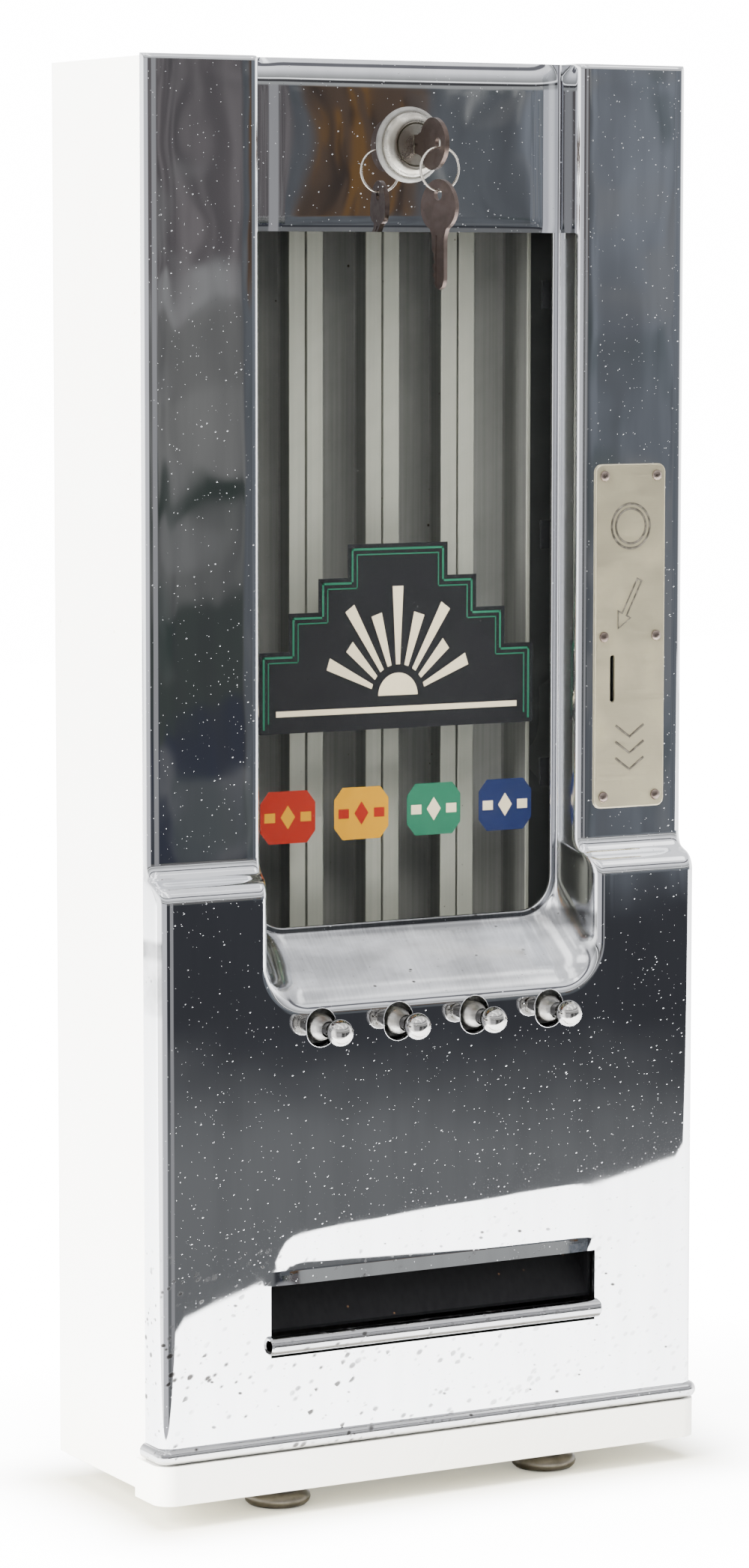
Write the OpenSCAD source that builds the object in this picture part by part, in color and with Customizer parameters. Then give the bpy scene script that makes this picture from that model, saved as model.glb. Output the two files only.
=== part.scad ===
// Counter-top gum vending machine: a painted steel case with four gum columns,
// closed by a bright front cover that tilts forward on a rod in its bottom bead.
// Millimetres, +Z up, the front faces -Y. The origin is on the table, below the middle of the outline.

/* [Case] */
// Outside width of the sheet-steel case
case_w = 256; // [240:1:300]
// Depth of the case, from its back to its front edge
case_d = 85; // [80:1:110]
// Height from the table to the top of the front cover
height = 600; // [560:1:660]
// Sheet thickness of the case
case_t = 1.2; // [0.8:0.1:2]
// Step from the top of the cover down to the top of the case
case_step = 1; // [0.4:0.1:2]
// Radius of the upright back corners
case_r = 4; // [3:0.5:8]
// Radius of the four wall-screw holes in the back
back_hole_r = 2.6; // [2:0.1:4]
// Distance between the wall-screw holes, side to side
back_hole_dx = 200; // [184:1:210]
// Distance between the wall-screw holes, up and down
back_hole_dz = 420; // [300:1:440]
// Height of the lower wall-screw holes above the case floor
back_hole_z = 70; // [50:1:100]

/* [Base and feet] */
// Height of a foot, from the table to the base plate
foot_h = 11; // [9:0.5:16]
// Radius of a foot's bright cup
foot_r = 14; // [11:0.5:16]
// Rounding of the cup's edge
foot_round = 3; // [2:0.5:3]
// Height of the dark neck above the cup
neck_h = 4; // [2.5:0.5:4.5]
// Radius of the neck
neck_r = 9.5; // [7:0.5:10]
// Distance between the feet, side to side
foot_dx = 130; // [100:1:180]
// Distance of the front feet behind the cover's lower front
foot_in = 20; // [16:1:30]
// Distance of the back feet from the back
foot_back = 18; // [16:1:24]
// Thickness of the base plate under the case
plate_t = 2; // [1.5:0.1:3]
// Inset of the base plate from the sides and the back of the case
plate_in = 3; // [1:0.5:8]
// Height of the toe's top above the underside of the base plate
toe_rise = 16; // [12:0.5:20]
// Sheet thickness of the toe
toe_t = 1.5; // [1:0.1:2]
// How far the toe stands in front of the cover's lower front
toe_out = 2; // [0.5:0.1:3]
// How far the toe's sides reach back along the case
toe_lap = 5; // [3:0.5:12]
// Gap between the toe and the sides of the case
toe_gap = 1; // [0.3:0.1:1.5]
// How far the skirt hangs below the base plate
skirt_drop = 0.6; // [0.2:0.1:2]
// Radius of the toe's front corners
toe_r = 8; // [4:0.5:12]

/* [Front cover] */
// How far the cover stands past each side of the case
cover_lap = 0.5; // [0.2:0.1:2]
// Wall thickness of the cover
cover_t = 2.5; // [1.5:0.1:3]
// How far the pilasters stand in front of the case
up_out = 4.5; // [4:0.1:8]
// How far the lower front stands in front of the case
low_out = 16.7; // [14:0.1:22]
// Gap between the cover and the case
joint_gap = 0.8; // [0.6:0.1:1.5]
// Radius of the cover's outer edges
corner_r = 4; // [3:0.1:6]
// Height of the lower end of the ogee shelf
shelf_z = 258; // [246:1:266]
// Height of the ogee shelf
shelf_h = 16; // [13:0.5:22]
// Width of the sunk panel between the pilasters
recess_w = 151; // [149:0.5:156]
// Depth of the sunk panel behind the pilasters
recess_d = 15.5; // [12:0.1:18]
// Length of the cover's top flange behind the sunk panel
flange_l = 5; // [4:0.5:8]
// Gap between the raised header and the walls of the sunk panel
header_gap = 2; // [1.5:0.1:6]
// How far the header stands out of the sunk panel
header_rise = 3.5; // [2.8:0.1:5]
// How far the scoop below the window flares out on each side, at the lower front
scoop_flare = 2.5; // [0.5:0.1:6]
// Height of the scoop's lip
scoop_z = 213.3; // [212:0.1:218]
// Radius of the scoop's lower corners
scoop_r = 17; // [12:0.5:24]
// Rounding of the sunk panel's edge on the pilasters
roll_up = 2; // [1:0.1:3]
// Rounding of the scoop's edge on the lower front
roll_low = 3; // [1:0.1:4]
// Rounding along the bottom of the sunk panel's walls
heel_r = 3; // [1.5:0.1:3]
// Height where the sloping sill meets the sunk panel
sill_z = 238; // [234:0.5:239]

/* [Window] */
// Width of the panel's rim beside the window
win_rim = 3.5; // [3.2:0.1:8]
// Height of the window's lower edge
win_z = 241.5; // [241:0.5:260]
// Distance of the window's upper edge below the top of the cover
win_down = 70.5; // [68:0.5:100]
// Radius of the window's lower corners
win_r = 15; // [8:0.5:20]
// Thickness of the glass
glass_t = 3; // [2:0.1:4]
// How far the glass laps behind the edge of the window
glass_lap = 3; // [2:0.1:3.5]
// Width of a glass clip along the window
clip_w = 12; // [8:0.5:16]
// Sheet thickness of a glass clip
clip_t = 1.2; // [0.8:0.1:1.6]
// How far a glass clip reaches over the glass
clip_reach = 5; // [3:0.5:8]
// Length of a glass clip's leaf on the wall of the sunk panel
clip_leaf = 10; // [6:0.5:11]
// Distance of the outer glass clips from the ends of the panel's upright walls
clip_in = 20; // [10:1:60]

/* [Delivery slot] */
// Width of the delivery slot
slot_w = 156.6; // [140:0.2:170]
// Height of the slot's lower edge
slot_z = 76; // [70:0.5:84]
// Height of the slot
slot_h = 21; // [16:0.5:28]
// Radius of the rolled lip below the slot
lip_r = 3.9; // [3:0.1:5]
// Radius of the rolled edge above the slot
brow_r = 2.2; // [1.5:0.1:3]

/* [Bead and hinge] */
// Radius of the half-round bead along the bottom
bead_r = 3.4; // [3.2:0.1:4.5]
// How far the bead stands out of the cover
bead_out = 2.6; // [2:0.1:3.2]
// Gap between the bead and the toe
bead_gap = 0.4; // [0.3:0.1:1]
// Radius of the hinge rod in the bead
hinge_r = 1.5; // [1:0.1:1.6]
// Half the length of the hinge rod
hinge_half = 118; // [108:1:122]
// Distance of a hinge lug from the middle
lug_x = 90; // [60:1:95]
// Width of a hinge lug
lug_w = 16; // [8:0.5:24]
// Wall of the lug's eye round the rod
eye_t = 0.8; // [0.6:0.1:0.9]
// Thickness of the lug's arm
arm_t = 2.4; // [1.6:0.1:2.6]
// Length of the lug's arm, from the rod to its block
arm_l = 6; // [6:0.5:7]
// Length of the lug's block on the toe
block_l = 8; // [6:0.5:8.5]
// Tilt of the open cover
tilt_max = 75; // [40:1:80]

/* [Coin plate] */
// Width of the coin plate
coin_w = 34.7; // [30:0.1:40]
// Height of the coin plate
coin_h = 146.7; // [120:0.1:160]
// Thickness of the coin plate
coin_t = 1.2; // [0.8:0.1:2]
// Radius of the coin plate's corners
coin_r = 2.6; // [1:0.1:5]
// Height of the middle of the coin plate
coin_z = 358.7; // [350:0.1:420]
// Distance of the coin plate's middle from that of the pilaster
coin_off = 1; // [0:0.1:3]
// Length of the coin slot
coin_slot_l = 20.2; // [18:0.1:28]
// Width of the coin slot
coin_slot_w = 2.4; // [2:0.1:3.4]
// Distance of the coin slot from the middle of the plate, sideways
coin_slot_x = 8.8; // [7:0.1:9.5]
// Distance of the coin slot below the middle of the plate
coin_slot_z = 17.9; // [14:0.1:20]
// Distance between the rivets, side to side
rivet_dx = 26; // [22:0.1:28]
// Distance between the rivets, up and down
rivet_dz = 68.4; // [50:0.1:70]
// Radius of a rivet's head
rivet_r = 2.3; // [1.5:0.1:2.5]
// Height of a rivet's head
rivet_h = 1.3; // [0.8:0.1:1.4]
// Radius of a rivet's shank
shank_r = 1.2; // [0.8:0.1:1.4]

/* [Lock and keys] */
// Distance of the lock below the top of the cover
lock_down = 34.6; // [32:0.1:42]
// Radius of the lock's bezel
bezel_r = 15.7; // [14:0.1:17]
// How far the bezel stands out of the header
bezel_h = 6; // [4:0.1:8]
// Radius of the lock's body
lock_r = 11; // [10.4:0.1:12]
// Length of the lock's body behind the header
lock_l = 19; // [16:0.5:20]
// Radius of the turning plug
plug_r = 8.5; // [7:0.1:9]
// Radius of the plug's tail, which carries the cam
tail_r = 4; // [3:0.1:5]
// Distance across the corners of the lock nut
nut_d = 31; // [28:0.5:33]
// Thickness of the lock nut
nut_t = 4; // [3:0.5:6]
// Thickness of the cam
cam_t = 2; // [1.5:0.1:3]
// Reach of the cam from the lock's axis
cam_l = 26; // [24:0.5:28]
// Width of the cam
cam_w = 12; // [11:0.5:14]
// Thickness of a key
key_t = 2; // [1.5:0.1:2.4]
// Radius of a key's bow
bow_r = 10.8; // [9:0.1:12]
// Length of a key's blade
blade_l = 19.5; // [16:0.5:24]
// Width of a key's blade
blade_w = 7.5; // [6:0.1:9]
// Length of the neck between bow and lock
key_neck = 4; // [3:0.5:6]
// Distance of a bow's hole from the middle of the bow
eye_off = 4.6; // [3:0.1:5]
// Radius of a bow's hole
eye_r = 2.4; // [2:0.1:3]
// Radius of the key ring, to the middle of its wire
ring_r = 9; // [8.5:0.1:12]
// Radius of the key ring's wire
ring_wire = 0.8; // [0.6:0.1:1]
// Turn of the spare key on its ring, about the upright
spare_turn = 12; // [0:1:20]

/* [Columns] */
// Distance between the columns, and between the plungers
pitch = 36.5; // [35:0.1:36.5]
// Gap between two columns
col_gap = 1; // [0.6:0.1:1.6]
// Sheet thickness of a column
col_t = 0.9; // [0.6:0.1:1.2]
// Depth of a column
col_d = 23; // [20:0.5:26]
// Distance of the columns behind the front edge of the case
col_in = 30; // [28:0.5:34]
// Width of the front lips between two columns
col_lip = 7.5; // [5:0.5:9]
// Width of the front hem on the outer side of the first and last column
col_hem = 1.8; // [1.4:0.1:4]
// Distance of the columns' upper ends below the top of the cover
col_down = 48; // [44:1:70]
// Sheet thickness of the magazine plate
mag_t = 1.2; // [0.8:0.1:1.6]
// Width of the magazine plate's fixing flanges
mag_flange = 9; // [6:0.5:10]

/* [Plungers and slides] */
// Height of the plungers
plunger_z = 203.3; // [202:0.1:203.6]
// Pull of a plunger
travel = 24; // [23:0.1:26]
// Radius of a plunger's rod
rod_r = 2.5; // [2:0.1:3]
// Radius of a plunger's collar
collar_r = 5.6; // [4.6:0.1:5.8]
// Radius of the neck behind the ball
knob_neck = 3.6; // [3:0.1:4.4]
// Length of the taper from the collar to the neck
knob_taper = 6; // [4:0.1:8]
// Distance of the ball's middle in front of the lower front
ball_out = 16.3; // [14:0.1:20]
// Radius of the ball
ball_r = 5.5; // [5:0.1:5.8]
// Half the width of an oval plunger hole
hole_r = 6.8; // [6.6:0.1:8]
// Extra height of an oval plunger hole
hole_long = 2.6; // [2.4:0.1:3]
// Width of the raised rim round a plunger hole
rim_w = 0.6; // [0.4:0.1:1]
// Height of the raised rim
rim_h = 0.7; // [0.3:0.1:1]
// Height of an ejector slide
slide_h = 9; // [7:0.5:10]
// Wall of an ejector slide
slide_t = 1.5; // [1:0.1:2]
// Front bar of an ejector slide
slide_bar = 3; // [2:0.1:4]
// Sheet thickness of the vend shelf
shelf_t = 1.5; // [1:0.1:2]
// Width of the ribs between the slides
rib_w = 3; // [2.4:0.1:4]
// Sheet thickness of the plunger guide
guide_t = 1.5; // [1:0.1:2]
// Distance of the plunger guide behind the lower front
guide_in = 6.7; // [5:0.1:8]
// Height of the plunger guide
guide_h = 15; // [12:0.5:16]
// Mean radius of a return spring
spring_r = 4; // [3.8:0.1:4.4]
// Radius of a spring's wire
wire_r = 0.45; // [0.35:0.05:0.5]
// Curls of a return spring
spring_n = 9; // [5:1:9]

/* [Chutes and coin box] */
// Sheet thickness of the delivery chute
chute_t = 1.2; // [0.8:0.1:1.6]
// Height where the chute starts to slope
chute_top = 150; // [130:1:165]
// Height of the chute's front edge above the slot's lower edge
chute_up = 1.5; // [0.8:0.1:3]
// Distance of the chute's front edge behind the lower front
chute_in = 6; // [5.5:0.1:9]
// Height of the chute's cheeks at the front
cheek_h = 22; // [14:0.5:30]
// Wall of the coin chute
race_t = 1; // [0.8:0.1:1.5]
// Inside width of the coin chute, across the coin
race_w = 3.2; // [2.8:0.1:4]
// Inside depth of the coin chute, along the coin
race_d = 21.5; // [20:0.1:26]
// Distance of the coin chute behind the front edge of the case
race_in = 1; // [0.5:0.1:4]
// Height of the coin chute's lower end above the coin box
race_gap = 6; // [3:0.5:12]
// Width of the coin box
box_w = 40; // [34:0.5:42]
// Depth of the coin box
box_d = 66; // [50:0.5:68]
// Height of the coin box
box_h = 90; // [60:1:120]
// Sheet thickness of the coin box
box_t = 1.2; // [0.8:0.1:2]
// Distance of the coin box behind the front edge of the case
box_in = 8; // [5:0.5:14]
// Gap between the coin box and the side of the case
box_side = 4.3; // [1:0.1:5]

/* [Clearances] */
// Radial clearance of a turning or sliding fit
fit = 0.05; // [0.02:0.01:0.1]
// Radial clearance of a fixed pin in its hole
snug = 0.02; // [0.01:0.01:0.05]
// Clearance between faces that slide or swing past each other
clear = 0.35; // [0.3:0.05:0.5]
// Clearance at the resting side of a hanging ring or key
hang = 0.2; // [0.1:0.05:0.3]

/* [Hidden] */
$fn = 48;
// Steps along each rounded stretch of a drawn outline
arc_n = 8;
// Steps round a corner of the scoop, across a rounding and over the shelf
corner_n = 7;
round_n = 4;
shelf_n = 8;
// How far a rounding starts in front of the face that it meets, and its least radius
skim = 0.02;
roll_min = 0.3;
// Overlap of a cutting solid past the face that it cuts
eps = 1;

// Depths, from the back of the case to the front
knob_reach = ball_out + ball_r;
y_back = (case_d + low_out + knob_reach) / 2;
y_inner = y_back - case_t;
y_joint = y_back - case_d;
y_edge = y_joint - joint_gap;
y_up = y_joint - up_out;
y_low = y_joint - low_out;
y_floor = y_up + recess_d;
y_header = y_floor - header_rise;
y_flange = y_floor + flange_l;
y_glass = y_floor + cover_t;
y_toe = y_low - toe_out;

// Heights, from the table up
case_z = foot_h + plate_t;
case_top = height - case_step;
cover_w = case_w + 2 * cover_lap;
header_w = recess_w - 2 * header_gap;
scoop_w = recess_w + 2 * scoop_flare;
win_w = recess_w - 2 * win_rim;
win_top = height - win_down;
lock_z = height - lock_down;
col_top = height - col_down;
floor_z = case_z + case_t;
toe_z = foot_h + toe_rise;
bead_z = toe_z + bead_gap + bead_r;
shelf_top_z = shelf_z + shelf_h;

// Front cover: edge radius with a flat strip behind it, ogee radius and angle, sill slope, bead axis
edge_flat = 0.2;
edge_r = min(corner_r, up_out - joint_gap - edge_flat);
ogee_step = low_out - up_out;
ogee_r = (ogee_step * ogee_step + shelf_h * shelf_h) / (4 * ogee_step);
ogee_a = 2 * atan(ogee_step / shelf_h);
sill_m = (sill_z - scoop_z) / (y_floor - y_low);
tongue_x = scoop_w / 2 + cover_t;
wall_x = recess_w / 2 + cover_t;
header_r = header_rise - edge_flat / 2;
bead_y = y_low - bead_out + bead_r;
bead_x = cover_w / 2 + bead_out - bead_r;
eye_or = hinge_r + snug + eye_t;
rod_bore = hinge_r + fit;

// Coin plate and slot
pilaster_x = (recess_w + cover_w) / 4;
coin_x = pilaster_x - coin_off;
race_x = coin_x - coin_slot_x;
race_z = coin_z - coin_slot_z;

// Lock and keys
lock_front = y_header - bezel_h;
lock_back = y_header + cover_t + lock_l;
cam_y = lock_back + 2 * clear;
tail_l = cam_y + cam_t - lock_back;
bow_y = lock_front - key_neck - bow_r;
ring_y = bow_y - eye_off;
ring_z = lock_z - eye_r + ring_wire + hang;
spare_eye_z = ring_z - 2 * ring_r - eye_r + ring_wire + hang;
keeper_z = lock_z + cam_w / 2 + nut_d / 4;

// Columns, slides and shelf
col_n = 4;
col_w = pitch - col_gap;
y_col = y_joint + col_in;
rib_h = slide_h + 2 * clear;
shelf_up = plunger_z - slide_h / 2 - clear / 2;
col_z = shelf_up + rib_h;
pocket_y = y_col + col_t;
pocket_d = col_d - 2 * col_t;
slide_y = pocket_y - slide_bar;
slide_w = pitch - rib_w - 2 * clear;
shelf_y = y_col - col_t;
shelf_x = (col_n * pitch + rib_w) / 2 + shelf_t;
mag_y = y_col + col_d;
mag_x = col_n * pitch / 2 + mag_t;
guide_y = y_low + guide_in;
spring_l = slide_y - guide_y - guide_t;

// Chutes and coin box
chute_x = slot_w / 2 + chute_t;
chute_back = shelf_y + chute_t;
chute_front = y_low + chute_in;
chute_z = slot_z + chute_up;
box_x = case_w / 2 - case_t - box_side - box_w / 2;
box_y = y_joint + box_in;

function column_x(i) = (i - (col_n - 1) / 2) * pitch;

// Points of an arc, from one angle to another
function arc(c, r, a0, a1, n = arc_n) =
    [for (i = [0 : n]) let (a = a0 + (a1 - a0) * i / n) c + r * [cos(a), sin(a)]];

// All points of a list but its first
function rest(list) = [for (i = [1 : len(list) - 1]) list[i]];

// Side outline of the cover as y and z, inset by o, back to depth y1
function side_outline(o, y1) = concat(
    [[y1, bead_z], [y_low + o, bead_z]],
    arc([y_low + ogee_r, shelf_z], ogee_r - o, 180, 180 - ogee_a),
    rest(arc([y_up - ogee_r, shelf_top_z], ogee_r + o, -ogee_a, 0)),
    arc([y_up + edge_r, height - edge_r], edge_r - o / 2, 180, 90),
    [[y1, height - (o > 0 ? o : 0)]]);

// Extrudes a drawing of y and z along X, over half a width to each side
module along_x(half) {
    rotate([90, 0, 90])
        translate([0, 0, -half])
            linear_extrude(2 * half)
                children();
}

// Extrudes a drawing of x and z along Y
module along_y(y0, y1) {
    translate([0, y1, 0])
        rotate([90, 0, 0])
            linear_extrude(y1 - y0)
                children();
}

// Box between two corners
module box(lo, hi) {
    translate(lo)
        cube(hi - lo);
}

// Rod along X, Y or Z
module rod_x(x0, x1, y, z, r) {
    translate([x0, y, z])
        rotate([0, 90, 0])
            cylinder(h = x1 - x0, r = r);
}

module rod_y(x, y0, y1, z, r) {
    translate([x, y1, z])
        rotate([90, 0, 0])
            cylinder(h = y1 - y0, r = r);
}

// Rectangle with four round corners
module round_rect(lo, hi, r) {
    translate([lo[0] + r, lo[1]])
        square([hi[0] - lo[0] - 2 * r, hi[1] - lo[1]]);
    translate([lo[0], lo[1] + r])
        square([hi[0] - lo[0], hi[1] - lo[1] - 2 * r]);
    for (x = [lo[0] + r, hi[0] - r])
        for (y = [lo[1] + r, hi[1] - r])
            translate([x, y])
                circle(r);
}

// Plan of a box whose two front corners are round
module front_plan(half, y0, y1, r) {
    translate([-half + r, y0])
        square([2 * (half - r), y1 - y0]);
    translate([-half, y0 + r])
        square([2 * half, y1 - y0 - r]);
    for (s = [-1, 1])
        translate([s * (half - r), y0 + r])
            circle(r);
}

// Upright oval
module oval(r, long) {
    translate([-r, -long / 2])
        square([2 * r, long]);
    for (s = [-1, 1])
        translate([0, s * long / 2])
            circle(r);
}

// Case: folded sheet, open at the front, notched at the top for the cover's sunk panel
module case_box() {
    color("ivory")
        difference() {
            translate([0, 0, case_z])
                linear_extrude(case_top - case_z)
                    mirror([0, 1])
                        front_plan(case_w / 2, -y_back, -y_joint, case_r);
            translate([0, 0, floor_z])
                linear_extrude(case_top - case_t - floor_z)
                    mirror([0, 1])
                        front_plan(case_w / 2 - case_t, -y_inner, -y_joint + eps, case_r - case_t);
            box([-tongue_x - joint_gap, y_joint - eps, case_top - case_t - eps],
                [tongue_x + joint_gap, y_flange + joint_gap, case_top + eps]);
            for (sx = [-1, 1])
                for (dz = [0, back_hole_dz])
                    rod_y(sx * back_hole_dx / 2, y_inner - eps, y_back + eps,
                          floor_z + back_hole_z + dz, back_hole_r);
        }
}

// Base: plate under the case, and the toe with its skirt in front of it
module base() {
    half = case_w / 2 + toe_gap + toe_t;
    color("ivory") {
        difference() {
            translate([0, 0, foot_h - skirt_drop])
                linear_extrude(toe_rise + skirt_drop)
                    front_plan(half, y_toe, y_joint + toe_lap, toe_r);
            translate([0, 0, foot_h - skirt_drop - eps])
                linear_extrude(toe_rise + skirt_drop + eps - toe_t)
                    front_plan(half - toe_t, y_toe + toe_t, y_joint + toe_lap + eps, toe_r - toe_t);
            box([-half + toe_t, y_joint - joint_gap, case_z - eps],
                [half - toe_t, y_joint + toe_lap + eps, toe_z + eps]);
        }
        translate([0, 0, foot_h])
            linear_extrude(plate_t)
                front_plan(half - toe_t, y_toe + toe_t, y_joint, toe_r - toe_t);
        box([-case_w / 2 + plate_in, y_joint - eps, foot_h], [case_w / 2 - plate_in, y_back - plate_in, case_z]);
    }
}

module at_feet() {
    for (sx = [-1, 1])
        for (y = [y_low + foot_in, y_back - foot_back])
            translate([sx * foot_dx / 2, y, 0])
                children();
}

// Feet: round cups with a rolled edge
module foot_glides() {
    cup_h = foot_h - neck_h;
    color("silver")
        at_feet()
            rotate_extrude()
                intersection() {
                    round_rect([-foot_r, 0], [foot_r, cup_h], foot_round);
                    square([foot_r, cup_h]);
                }
}

module foot_necks() {
    color("dimgray")
        at_feet()
            translate([0, 0, foot_h - neck_h])
                cylinder(h = neck_h, r = neck_r);
}

// Outer form of the cover, inset by o, without its sunk panel
module cover_form(o, y1) {
    half = cover_w / 2 - o;
    intersection() {
        along_x(cover_w)
            polygon(side_outline(o, y1));
        union() {
            translate([0, 0, bead_z - (o > 0 ? eps : 0)])
                linear_extrude(shelf_top_z - bead_z + eps)
                    front_plan(half, y_low + o, y1, edge_r - o / 2);
            translate([0, 0, shelf_top_z - eps])
                linear_extrude(height - shelf_top_z + 2 * eps)
                    front_plan(half, y_up + o, y1, edge_r - o / 2);
        }
    }
}

// Depth of the cover's face at height z, inset by o
function face_y(z, o) =
    z >= shelf_top_z ? y_up + o
    : z <= shelf_z ? y_low + o
    : z >= shelf_top_z - shelf_h / 2 - o * sin(ogee_a)
        ? y_up - ogee_r + sqrt(pow(ogee_r + o, 2) - pow(shelf_top_z - z, 2))
        : y_low + ogee_r - sqrt(pow(ogee_r - o, 2) - pow(z - shelf_z, 2));

function unit(v) = v / norm(v);

// Points of a rounding at corner b, from the side towards a to the side towards c
function rounding(a, b, c, r) =
    let (u = unit(a - b), v = unit(c - b), half = acos(u * v) / 2, w = unit(u + v), e = unit(u - v))
    [for (i = [0 : round_n])
        let (t = (90 - half) * (1 - 2 * i / round_n))
        b + w * r / sin(half) + r * (sin(t) * e - cos(t) * w)];

// Corner point at angle a of a U with half width w, lowest height z and corner radius r
function u_corner(w, z, r, a) = [w - r + r * cos(a), z + r + r * sin(a)];

// Line across the recess wall, grown by g: from in front of the cover, over the lip at b,
// down the wall to its heel at c and onto the panel; n points away from the opening
function wall_line(b, c, n, roll, g) =
    let (lip = rounding(b + n, b, c, max(roll - g, roll_min)))
    concat([[lip[0][0], y_low - eps, lip[0][2]]], lip, rounding(b, c, c - n, heel_r + g));

// Wall lines of the right half, from the bottom of the scoop to above the cover
function wall_half(g) =
    let (drop = g * (sill_m - sqrt(1 + sill_m * sill_m)),
         deep = y_floor + g,
         lip_z = scoop_z + drop,
         heel_z = sill_z + drop,
         lip_c = scoop_r + g,
         heel_c = win_r + win_rim + g,
         rise = (shelf_top_z - heel_z - heel_c) / (shelf_top_z - lip_z - lip_c))
    concat(
        [for (k = [0 : corner_n])
            let (a = 90 * (k / corner_n - 1),
                 p = u_corner(scoop_w / 2 + g, lip_z, lip_c, a),
                 q = u_corner(recess_w / 2 + g, heel_z, heel_c, a))
            wall_line([p[0], y_low + g - skim, p[1]], [q[0], deep, q[1]], [cos(a), 0, sin(a)], roll_low, g)],
        [for (k = [0 : shelf_n + 1])
            let (z = k > shelf_n ? height + 2 * eps : shelf_z + shelf_h * k / shelf_n,
                 y = face_y(z, g),
                 low = (y_up + g - y) / (y_up - y_low),
                 x = recess_w / 2 + g)
            wall_line([x + low * scoop_flare, y - skim, z],
                      [x, deep, z > shelf_top_z ? z : shelf_top_z - rise * (shelf_top_z - z)],
                      [1, 0, 0], roll_up + low * (roll_low - roll_up), g)]);

// Sunk panel and scoop as a cut, grown outwards by g, with the header left standing
module recess(g) {
    right = wall_half(g);
    n = len(right);
    lines = concat([for (k = [n - 1 : -1 : 0]) [for (p = right[k]) [-p[0], p[1], p[2]]]], right);
    m = len(right[0]);
    last = 2 * n - 1;
    difference() {
        polyhedron([for (line = lines) each line], concat(
            [for (i = [0 : last - 1]) for (j = [0 : m - 2])
                let (a = m * i + j, b = a + m)
                each [[a, b, b + 1], [a, b + 1, a + 1]]],
            [for (i = [0 : n - 2])
                let (a = m * i, b = a + m, c = m * (last - 1 - i), d = c + m, e = m - 1)
                each [[a, d, c], [a, c, b], [a + e, b + e, c + e], [a + e, c + e, d + e]]],
            [for (j = [0 : m - 2])
                let (c = m * last + j)
                each [[j, j + 1, c + 1], [j, c + 1, c]]]));
        header(g);
    }
}

// Raised header panel, inset by g
module header(g) {
    half = header_w / 2 - g;
    y0 = y_header + g;
    top = height + 3 * eps;
    r = header_r - g / 2;
    difference() {
        translate([0, 0, win_top + g])
            linear_extrude(top - win_top - g)
                front_plan(half, y0, y_flange, r);
        difference() {
            box([-half - eps, y0 - eps, height - g - r], [half + eps, y0 + r, top + eps]);
            rod_x(-half - 2 * eps, half + 2 * eps, y0 + r, height - g - r, r);
        }
    }
}

// Half-round bead along the bottom, turned back along both sides
module bead() {
    rod_x(-bead_x, bead_x, bead_y, bead_z, bead_r);
    for (s = [-1, 1]) {
        rod_y(s * bead_x, bead_y, y_edge, bead_z, bead_r);
        translate([s * bead_x, bead_y, bead_z])
            sphere(bead_r);
    }
}

// Bar with round ends, along X
module round_bar(half, y, z, r) {
    rod_x(-half, half, y, z, r);
    for (s = [-1, 1])
        translate([s * half, y, z])
            sphere(r);
}

// Room in the bead for the hinge lugs, over the whole tilt of the cover
module lug_pockets() {
    swing = asin((arm_t / 2 + clear) / eye_or);
    for (s = [-1, 1])
        translate([s * lug_x, 0, 0]) {
            rod_x(-lug_w / 2 - clear, lug_w / 2 + clear, bead_y, bead_z, eye_or + clear);
            along_x(lug_w / 2 + clear)
                polygon(concat([[bead_y, bead_z]],
                               arc([bead_y, bead_z], 4 * bead_r, swing, -tilt_max - swing)));
        }
}

module at_rivets() {
    for (sx = [-1, 1])
        for (k = [-1, 0, 1])
            translate([coin_x + sx * rivet_dx / 2, y_up - coin_t, coin_z + k * rivet_dz])
                children();
}

module coin_slot(y0, y1) {
    along_y(y0, y1)
        translate([race_x, race_z])
            oval(coin_slot_w / 2, coin_slot_l - coin_slot_w);
}

// Front cover: pressed shell with pilasters, sunk window panel, scoop, shelf, slot and bead
module front_shell() {
    color("gainsboro")
        difference() {
            union() {
                difference() {
                    union() {
                        cover_form(0, y_edge);
                        intersection() {
                            cover_form(0, y_flange);
                            box([-tongue_x, y_low, bead_z], [tongue_x, y_flange, height]);
                        }
                    }
                    recess(0);
                    difference() {
                        cover_form(cover_t, y_flange + 2 * eps);
                        recess(cover_t);
                    }
                    along_y(y_low - eps, y_low + cover_t + eps)
                        round_rect([-slot_w / 2, slot_z - lip_r], [slot_w / 2, slot_z + slot_h], brow_r);
                }
                bead();
                round_bar(slot_w / 2 - lip_r / 2, y_low + cover_t / 2, slot_z - lip_r, lip_r);
                round_bar(slot_w / 2 - lip_r, y_low + brow_r, slot_z + slot_h + brow_r / 2, brow_r);
                for (i = [0 : col_n - 1])
                    translate([column_x(i), 0, plunger_z])
                        along_y(y_low - rim_h, y_low + cover_t)
                            oval(hole_r + rim_w, hole_long);
            }
            for (i = [0 : col_n - 1])
                translate([column_x(i), 0, plunger_z])
                    along_y(y_low - rim_h - eps, y_low + cover_t + eps)
                        oval(hole_r, hole_long);
            along_y(y_header - eps, y_flange)
                union() {
                    round_rect([-win_w / 2, win_z], [win_w / 2, win_top - win_r], win_r);
                    translate([-win_w / 2, win_z + win_r])
                        square([win_w, win_top - win_z - win_r]);
                }
            rod_y(0, y_header - eps, y_flange, lock_z, lock_r + snug);
            coin_slot(y_up - eps, y_up + cover_t + eps);
            at_rivets()
                rod_y(0, -eps, cover_t + coin_t + eps, 0, shank_r + snug);
            lug_pockets();
            rod_x(-hinge_half - clear, hinge_half + clear, bead_y, bead_z, rod_bore);
        }
}

module window_glass() {
    lap = glass_lap;
    color("lightcyan", 0.35)
        box([-win_w / 2 - lap, y_glass, win_z - lap], [win_w / 2 + lap, y_glass + glass_t, win_top + lap]);
}

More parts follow.
